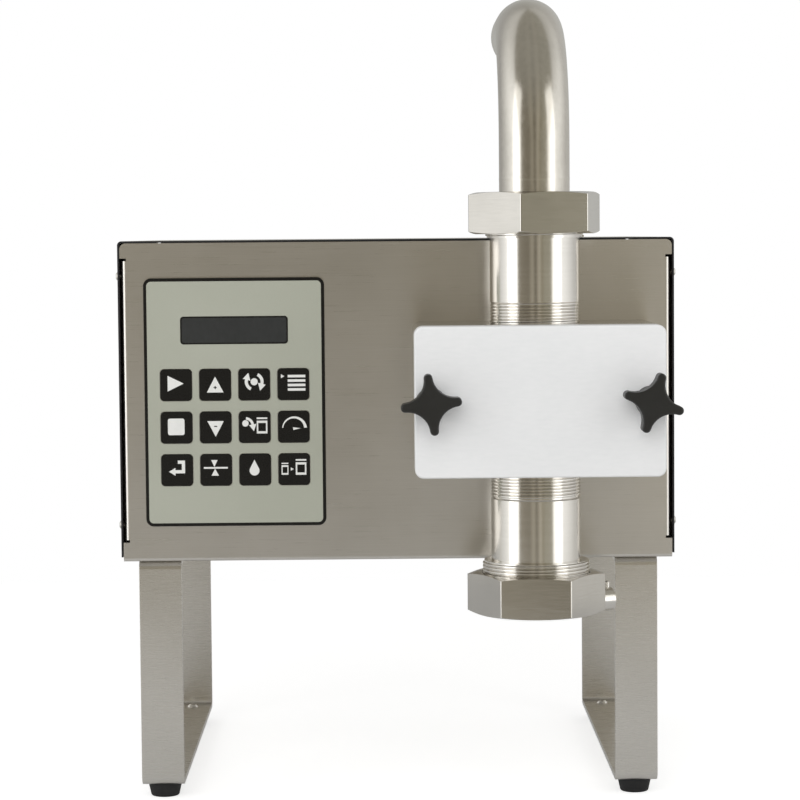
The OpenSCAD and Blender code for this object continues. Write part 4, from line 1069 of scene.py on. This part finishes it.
def wedge(tip, base, width):
    """Points of a pointed wedge from the middle of its base to its tip."""
    along = (Vector(tip) - Vector(base)).normalized()
    side = Vector((-along.y, along.x)) * width / 2
    return [tip, tuple(Vector(base) + side), tuple(Vector(base) - side)]


def stroke(x, z, radius, width, start, end, end_width=None):
    """Points of a curved stroke, which may grow in width."""
    outer = []
    inner = []
    steps = 16
    for i in range(steps + 1):
        angle = math.radians(start + (end - start) * i / steps)
        half = (width + ((end_width or width) - width) * i / steps) / 2
        outer.append((x + (radius + half) * math.cos(angle), z + (radius + half) * math.sin(angle)))
        inner.append((x + (radius - half) * math.cos(angle), z + (radius - half) * math.sin(angle)))
    return outer + inner[::-1]


def drop(x, z, radius, tip):
    """Points of a drop with its tip up."""
    lean = math.degrees(math.acos(radius / (tip - z)))
    return [(x, tip)] + arc((x, z), radius, 90 + lean, 450 - lean, 24)


def dot(x, z, radius):
    """Points of a round dot."""
    return arc((x, z), radius, 0, 345, 23)


def curved_arrow(x, z, radius, width, start, end, head):
    """Outlines of a curved stroke with an arrow head on its end."""
    angle = math.radians(end)
    base = Vector((x + radius * math.cos(angle), z + radius * math.sin(angle)))
    ahead = Vector((-math.sin(angle), math.cos(angle))) * (head if end > start else -head)
    head_width = 1.1 * head
    return [stroke(x, z, radius, width, start, end), wedge(tuple(base + ahead), tuple(base), head_width)]


def jar(x, z, width, height):
    """Outlines of a jar with a lid, and with an open space for its label."""
    wall = 0.14 * width
    lid = 0.1 * height
    body = 0.8 * height
    band = 0.18 * body
    body_z = z - 0.5 * height + 0.5 * body
    within = width - 2 * wall
    walls = [bar(x + side * (width - wall) / 2, body_z, wall, body) for side in (-1, 1)]
    bands = [bar(x, body_z + side * (body - band) / 2, within, band) for side in (1, -1)]
    return [bar(x, z + height / 2 - lid / 2, width, lid)] + walls + bands


def signs():
    """The pictograms of the keys, as outlines in mm about a key's middle."""
    enter = [(-4.8, -0.9), (-1.0, -3.2), (-1.0, -1.85), (4.65, -1.85), (4.65, 5.65), (0.4, 5.65),
             (0.4, 3.75), (2.75, 3.75), (2.75, 0.05), (-1.0, 0.05), (-1.0, 1.4)]
    return {
        "start_key": [wedge((4.5, 0.9), (-4.9, 0.9), 9.2)],
        "up_key": [wedge((0, 4.8), (0, -4.5), 9.8)],
        "reverse_key": [dot(0, 1.6, 2.1)] + curved_arrow(0, 1.6, 4.6, 1.8, 245, 165, 4.2)
        + curved_arrow(0, 1.6, 4.6, 1.8, 65, -15, 4.2),
        "menu_key": [bar(1.9, z, 10.3, 1.5) for z in (4.7, 2.1, -0.5, -3.1)]
        + [wedge((-5.2, 4.7), (-7.2, 4.7), 2.4)],
        "stop_key": [round_rect((-0.2, 0.5), 9.7, 9.7, 1.2, 6)],
        "down_key": [wedge((0, -5.5), (0, 3.7), 9.6)],
        "fill_key": [dot(-5.4, 2.2, 1.9)] + curved_arrow(-5.4, 0.8, 4.3, 1.5, 85, 10, 4.0)
        + jar(4.3, 0.9, 6.2, 9.4),
        "speed_key": [stroke(0.2, -1.2, 6.7, 0.6, 175, 5, 1.7), wedge((4.0, -0.9), (-0.4, -1.1), 1.6)],
        "enter_key": [enter],
        "calibrate_key": [bar(-0.2, 1.2, 14, 1.0), wedge((-1.0, 1.75), (-1.0, 5.8), 3.8),
                          wedge((-0.6, 0.65), (-0.6, -3.4), 4.4)],
        "drip_key": [drop(-0.4, -0.6, 2.9, 5.8)],
        "batch_key": jar(-5.4, 0.3, 4.0, 7.0) + [wedge((-0.2, 0.1), (-2.0, 0.1), 2.0)]
        + jar(4.0, 1.3, 6.2, 9.2),
    }


def plus(x, z, span, width):
    """Points of a plus sign."""
    half = span / 2
    thin = width / 2
    arm = [(half, -thin), (half, thin), (thin, thin)]
    quarters = [Matrix.Rotation(i * math.pi / 2, 2) for i in range(4)]
    return [(x + p.x, z + p.y) for turn_by in quarters for p in [turn_by @ Vector(point) for point in arm]]


def dark_signs():
    """The small dark marks on the two arrow signs, as outlines in mm about a key's middle."""
    return {"up_key": [plus(0, -1.6, 1.8, 0.6)], "down_key": [bar(0, 0.6, 1.8, 0.6)]}


class FILLER_OT_key_signs(bpy.types.Operator):
    """Print a pictogram on each key"""

    bl_idname = "filler.key_signs"
    bl_label = "Key Signs"

    def execute(self, context):
        ink = sizes().ink
        for node, outlines in signs().items():
            self.print_sign("sign_" + node, node, outlines, ink, white_ink(), "white_plastic")
        for node, outlines in dark_signs().items():
            self.print_sign("mark_" + node, node, outlines, 2 * ink, key_film(), "key_film")
        return {"FINISHED"}

    def print_sign(self, name, node, outlines, proud, finish, slot):
        """Prints the outlines on a key, proud of its front by a little."""
        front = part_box(node)[0].y
        middle = middle_of(node)
        prints = []
        for outline in outlines:
            points = [(middle.x + x * MM, front - proud, middle.z + z * MM) for x, z in outline]
            prints.append(extruded("print", points, (0, proud + PRINT_SUNK, 0)))
        close_piece(joined(name, prints), finish, node, slot)


class FILLER_OT_display_frame(bpy.types.Operator):
    """Print the black frame round the display window"""

    bl_idname = "filler.display_frame"
    bl_label = "Display Frame"

    def execute(self, context):
        size = sizes()
        low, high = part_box("display_window")
        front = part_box("keypad_overlay")[0].y
        middle = (low + high) / 2
        width = high.x - low.x
        height = high.z - low.z
        ink = size.ink
        line = size.window_border
        outline = round_rect((middle.x, middle.z), width, height, size.window_corner)
        border = extruded("display_frame_print", facing_front(outline, front - ink), (0, 1.5 * ink, 0))
        inner = round_rect((middle.x, middle.z), width - 2 * line, height - 2 * line,
                           size.window_corner - line / 2)
        hole = extruded("hole", facing_front(inner, front - 4 * ink), (0, 8 * ink, 0))
        cut(border, hole)
        close_piece(settle(border), key_film(), "frame", "keypad_black")
        return {"FINISHED"}


class FILLER_OT_rocker_marks(bpy.types.Operator):
    """Print the plain on and off marks on the rear rocker switch"""

    bl_idname = "filler.rocker_marks"
    bl_label = "Rocker Marks"

    def execute(self, context):
        size = sizes()
        pivot = Vector((middle_of("switch_frame").x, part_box("chassis_tray")[1].y,
                        middle_of("switch_frame").z))
        tall = size.rocker_mark
        thick = 0.18 * tall
        ring = (tall - thick) / 2
        on_mark = [bar(0, 0, thick, tall)]
        off_mark = [stroke(0, 0, ring, thick, start, start + 180) for start in (0, 180)]
        prints = []
        for half, outlines in ((1, on_mark), (-1, off_mark)):
            slope = self.slope(size, pivot, half)
            for outline in outlines:
                mark = extruded("print", facing_front(outline, -PRINT_SUNK), (0, size.ink + PRINT_SUNK, 0))
                mark.data.transform(slope)
                prints.append(mark)
        close_piece(joined("rocker_marks", prints), white_ink(), "power_switch", "white_plastic")
        return {"FINISHED"}

    def slope(self, size, pivot, half):
        """Where the middle of the rocker's upper or lower half lies, facing the rear."""
        tilt = Matrix.Rotation(-size.rocker_tilt, 4, "X")
        dip = size.rocker_half * math.tan(size.rocker_tilt)
        valley = Matrix.Translation((0, size.rocker_reach - dip, 0))
        lean = Matrix.Rotation(-half * size.rocker_tilt, 4, "X")
        middle = Matrix.Translation((0, 0, half * size.rocker_half / 2))
        return Matrix.Translation(pivot) @ tilt @ valley @ lean @ middle


# Stage

# The room by bearing in degrees, with the camera's side at 0 and the right positive: a dim front with
# paler bands, between pale walls that grow greyer towards the rear
STUDIO_LIGHT = 1.45
STUDIO = [(-180, "#a0a09d"), (-140, "#949391"), (-110, "#bdbdbb"), (-75, "#f4f4f3"), (-52, "#ffffff"),
          (-46, "#7b7568"), (-18, "#6c665a"), (-9, "#979183"), (-1, "#554f43"), (8, "#a7a193"),
          (15, "#76705f"), (20, "#8a8678"), (42, "#8a8678"), (52, "#e6e6e5"), (80, "#e6e6e5"),
          (115, "#b6b5b3"), (180, "#a0a09d")]
# How far looking up counts as looking to the front
UP_AS_FRONT = 0.9
# What dull surfaces see instead of the room
AMBIENT = "#959595"
# Colour overhead, the heights on a unit sphere between which it sets in, and its share there
CEILING = "#898780"
CEILING_START = 0.2
CEILING_END = 0.95
CEILING_SHARE = 0.8
# Colour below the horizon, in the same way
GROUND = "#c8c4b8"
GROUND_START = -0.03
GROUND_END = -0.14
GROUND_SHARE = 0.14
# Tints of the paper floor and the size of its fibres
PAPER_DARK = "#d8d8d7"
PAPER_LIGHT = "#dededd"
FIBRE = 3 * MM


class FILLER_OT_stage(bpy.types.Operator):
    """Set the floor, the light and the camera"""

    bl_idname = "filler.stage"
    bl_label = "Stage"

    def execute(self, context):
        stage = context.scene.filler_stage
        self.floor(stage)
        self.studio()
        self.lamp(stage)
        self.softboxes(stage)
        self.camera(stage)
        context.scene.view_settings.view_transform = "Standard"
        return {"FINISHED"}

    def floor(self, stage):
        """A pale floor that is lifted to white for the camera and keeps the object's shadow."""
        focus(None)
        bpy.ops.mesh.primitive_plane_add(
            size=stage.floor_width, location=(0, stage.floor_width / 2 - stage.floor_front, 0))
        floor = bpy.context.object
        floor.name = "studio_floor"
        material = bpy.data.materials.new("paper_floor_white")
        material.use_nodes = True
        tree = material.node_tree
        tree.nodes.clear()
        place = add_node(tree, "ShaderNodeTexCoord").outputs["Object"]
        fibres = add_node(tree, "ShaderNodeTexNoise", {"Vector": place, "Scale": 1 / FIBRE, "Detail": 3.0})
        tint = add_node(tree, "ShaderNodeMix", {
            0: fibres.outputs["Fac"], 6: linear(PAPER_DARK), 7: linear(PAPER_LIGHT)}, data_type="RGBA")
        paper = add_node(tree, "ShaderNodeBsdfDiffuse", {"Color": tint.outputs[2]})
        rays = add_node(tree, "ShaderNodeLightPath")
        shader = paper.outputs["BSDF"]
        for ray, strength in (("Is Glossy Ray", stage.floor_mirrored), ("Is Camera Ray", stage.floor_lift)):
            glow = add_node(tree, "ShaderNodeEmission", {"Color": linear("#ffffff"), "Strength": strength})
            lifted = add_node(tree, "ShaderNodeAddShader", {
                0: paper.outputs["BSDF"], 1: glow.outputs["Emission"]})
            seen = add_node(tree, "ShaderNodeMixShader", {
                0: rays.outputs[ray], 1: shader, 2: lifted.outputs["Shader"]})
            shader = seen.outputs["Shader"]
        add_node(tree, "ShaderNodeOutputMaterial", {"Surface": shader})
        floor.data.materials.append(material)

    def studio(self):
        """A room that is white to the camera, and dim behind it, where the metal mirrors it."""
        world = bpy.context.scene.world or bpy.data.worlds.new("studio")
        bpy.context.scene.world = world
        world.use_nodes = True
        tree = world.node_tree
        tree.nodes.clear()
        way = add_node(tree, "ShaderNodeTexCoord").outputs["Generated"]
        apart = add_node(tree, "ShaderNodeSeparateXYZ", {"Vector": way})
        above = add_node(tree, "ShaderNodeMath", {0: apart.outputs["Z"], 1: 0.0}, operation="MAXIMUM")
        lifted = add_node(tree, "ShaderNodeMath", {
            0: above.outputs["Value"], 1: UP_AS_FRONT}, operation="MULTIPLY")
        front = add_node(tree, "ShaderNodeMath", {
            0: lifted.outputs["Value"], 1: apart.outputs["Y"]}, operation="SUBTRACT")
        bearing = add_node(tree, "ShaderNodeMath", {
            0: apart.outputs["X"], 1: front.outputs["Value"]}, operation="ARCTAN2")
        share = add_node(tree, "ShaderNodeMapRange", {
            "Value": bearing.outputs["Value"], "From Min": -math.pi, "From Max": math.pi})
        room = add_node(tree, "ShaderNodeValToRGB", {"Fac": share.outputs["Result"]})
        stops = room.color_ramp.elements
        for degrees, _ in STUDIO[1:-1]:
            stops.new((degrees + 180) / 360)
        for stop, (_, code) in zip(stops, STUDIO):
            stop.color = linear(code)
        height = add_node(tree, "ShaderNodeMapRange", {
            "Value": apart.outputs["Z"], "From Min": CEILING_START, "From Max": CEILING_END,
            "To Max": CEILING_SHARE}, interpolation_type="SMOOTHSTEP")
        whole = add_node(tree, "ShaderNodeMix", {
            0: height.outputs["Result"], 6: room.outputs["Color"], 7: linear(CEILING)}, data_type="RGBA")
        depth = add_node(tree, "ShaderNodeMapRange", {
            "Value": apart.outputs["Z"], "From Min": GROUND_START, "From Max": GROUND_END,
            "To Max": GROUND_SHARE})
        lower = add_node(tree, "ShaderNodeMix", {
            0: depth.outputs["Result"], 6: whole.outputs[2], 7: linear(GROUND)}, data_type="RGBA")
        rays = add_node(tree, "ShaderNodeLightPath")
        seen = add_node(tree, "ShaderNodeMath", {
            0: rays.outputs["Is Camera Ray"], 1: rays.outputs["Is Transmission Ray"]}, operation="MAXIMUM")
        full_white = [1 / STUDIO_LIGHT] * 3 + [1]
        shown = add_node(tree, "ShaderNodeMix", {
            0: seen.outputs["Value"], 6: lower.outputs[2], 7: full_white}, data_type="RGBA")
        even = add_node(tree, "ShaderNodeMix", {
            0: rays.outputs["Is Diffuse Ray"], 6: shown.outputs[2], 7: linear(AMBIENT)}, data_type="RGBA")
        light = add_node(tree, "ShaderNodeBackground", {"Color": even.outputs[2], "Strength": STUDIO_LIGHT})
        add_node(tree, "ShaderNodeOutputWorld", {"Surface": light.outputs["Background"]})

    def lamp(self, stage):
        """A soft lamp above and in front, which the metal doesn't mirror."""
        lamp = bpy.data.lights.new("soft_front", "AREA")
        lamp.energy = stage.front_lamp
        lamp.size = stage.lamp_size
        holder = bpy.data.objects.new("soft_front", lamp)
        bpy.context.scene.collection.objects.link(holder)
        holder.location = stage.lamp_place
        aim = Vector(stage.lamp_aim) - holder.location
        holder.rotation_euler = aim.to_track_quat("-Z", "Y").to_euler()
        holder.visible_glossy = False

    def softboxes(self, stage):
        """Two upright softboxes either side of the camera, which the metal mirrors as pale bands."""
        column = middle_of("inlet_tube")
        for name, bearing, power in (("left_softbox", stage.left_box_turn, stage.left_box),
                                     ("right_softbox", stage.right_box_turn, stage.right_box)):
            box = bpy.data.lights.new(name, "AREA")
            box.shape = "RECTANGLE"
            box.size = stage.box_width
            box.size_y = stage.box_height
            box.energy = power
            holder = bpy.data.objects.new(name, box)
            bpy.context.scene.collection.objects.link(holder)
            reach = stage.box_distance
            holder.location = (column.x + reach * math.sin(bearing), column.y - reach * math.cos(bearing),
                               stage.box_height / 2)
            holder.rotation_euler = (math.pi / 2, 0, bearing)
            holder.visible_camera = False

    def camera(self, stage):
        """The camera at the photograph's place and angle."""
        ahead = Vector((math.sin(stage.camera_yaw) * math.cos(stage.camera_pitch),
                        math.cos(stage.camera_yaw) * math.cos(stage.camera_pitch),
                        -math.sin(stage.camera_pitch)))
        level = Vector((math.cos(stage.camera_yaw), -math.sin(stage.camera_yaw), 0))
        upright = level.cross(ahead)
        right = math.cos(stage.camera_roll) * level + math.sin(stage.camera_roll) * upright
        top = -math.sin(stage.camera_roll) * level + math.cos(stage.camera_roll) * upright
        facing = Matrix((right, top, -ahead)).transposed().to_4x4()
        camera = bpy.data.cameras.new("photo_camera")
        camera.lens = stage.camera_lens
        holder = bpy.data.objects.new("photo_camera", camera)
        bpy.context.scene.collection.objects.link(holder)
        holder.matrix_world = Matrix.Translation(stage.camera_place) @ facing
        bpy.context.scene.camera = holder


PIECES = [FILLER_OT_stage, FILLER_OT_solids, FILLER_OT_star_knobs, FILLER_OT_pump_plate, FILLER_OT_tubes,
          FILLER_OT_union_nuts, FILLER_OT_inlet_pipe, FILLER_OT_strap_legs, FILLER_OT_rubber_feet,
          FILLER_OT_screws, FILLER_OT_keys, FILLER_OT_key_signs, FILLER_OT_display_frame,
          FILLER_OT_rocker_marks]


class FILLER_PT_pieces(bpy.types.Panel):
    """Lists the pieces and their values"""

    bl_idname = "FILLER_PT_pieces"
    bl_label = "Honey Filling Machine"
    bl_space_type = "VIEW_3D"
    bl_region_type = "UI"
    bl_category = "Filler"

    def draw(self, context):
        column = self.layout.column(align=True)
        for piece in PIECES:
            column.operator(piece.bl_idname)
        for group in (context.scene.filler_sizes, context.scene.filler_colours, context.scene.filler_stage):
            values = self.layout.column()
            for name in group.__annotations__:
                values.prop(group, name)


GROUPS = {"filler_sizes": FillerSizes, "filler_colours": FillerColours, "filler_stage": FillerStage}


def register():
    for name, group in GROUPS.items():
        bpy.utils.register_class(group)
        setattr(bpy.types.Scene, name, bpy.props.PointerProperty(type=group))
    for kind in PIECES + [FILLER_PT_pieces]:
        bpy.utils.register_class(kind)


def unregister():
    for kind in reversed(PIECES + [FILLER_PT_pieces]):
        bpy.utils.unregister_class(kind)
    for name, group in GROUPS.items():
        delattr(bpy.types.Scene, name)
        bpy.utils.unregister_class(group)


def main():
    """Makes every piece."""
    register()
    for piece in PIECES:
        group, name = piece.bl_idname.split(".")
        getattr(getattr(bpy.ops, group), name)()
    focus(None)


if __name__ == "__main__":
    main()
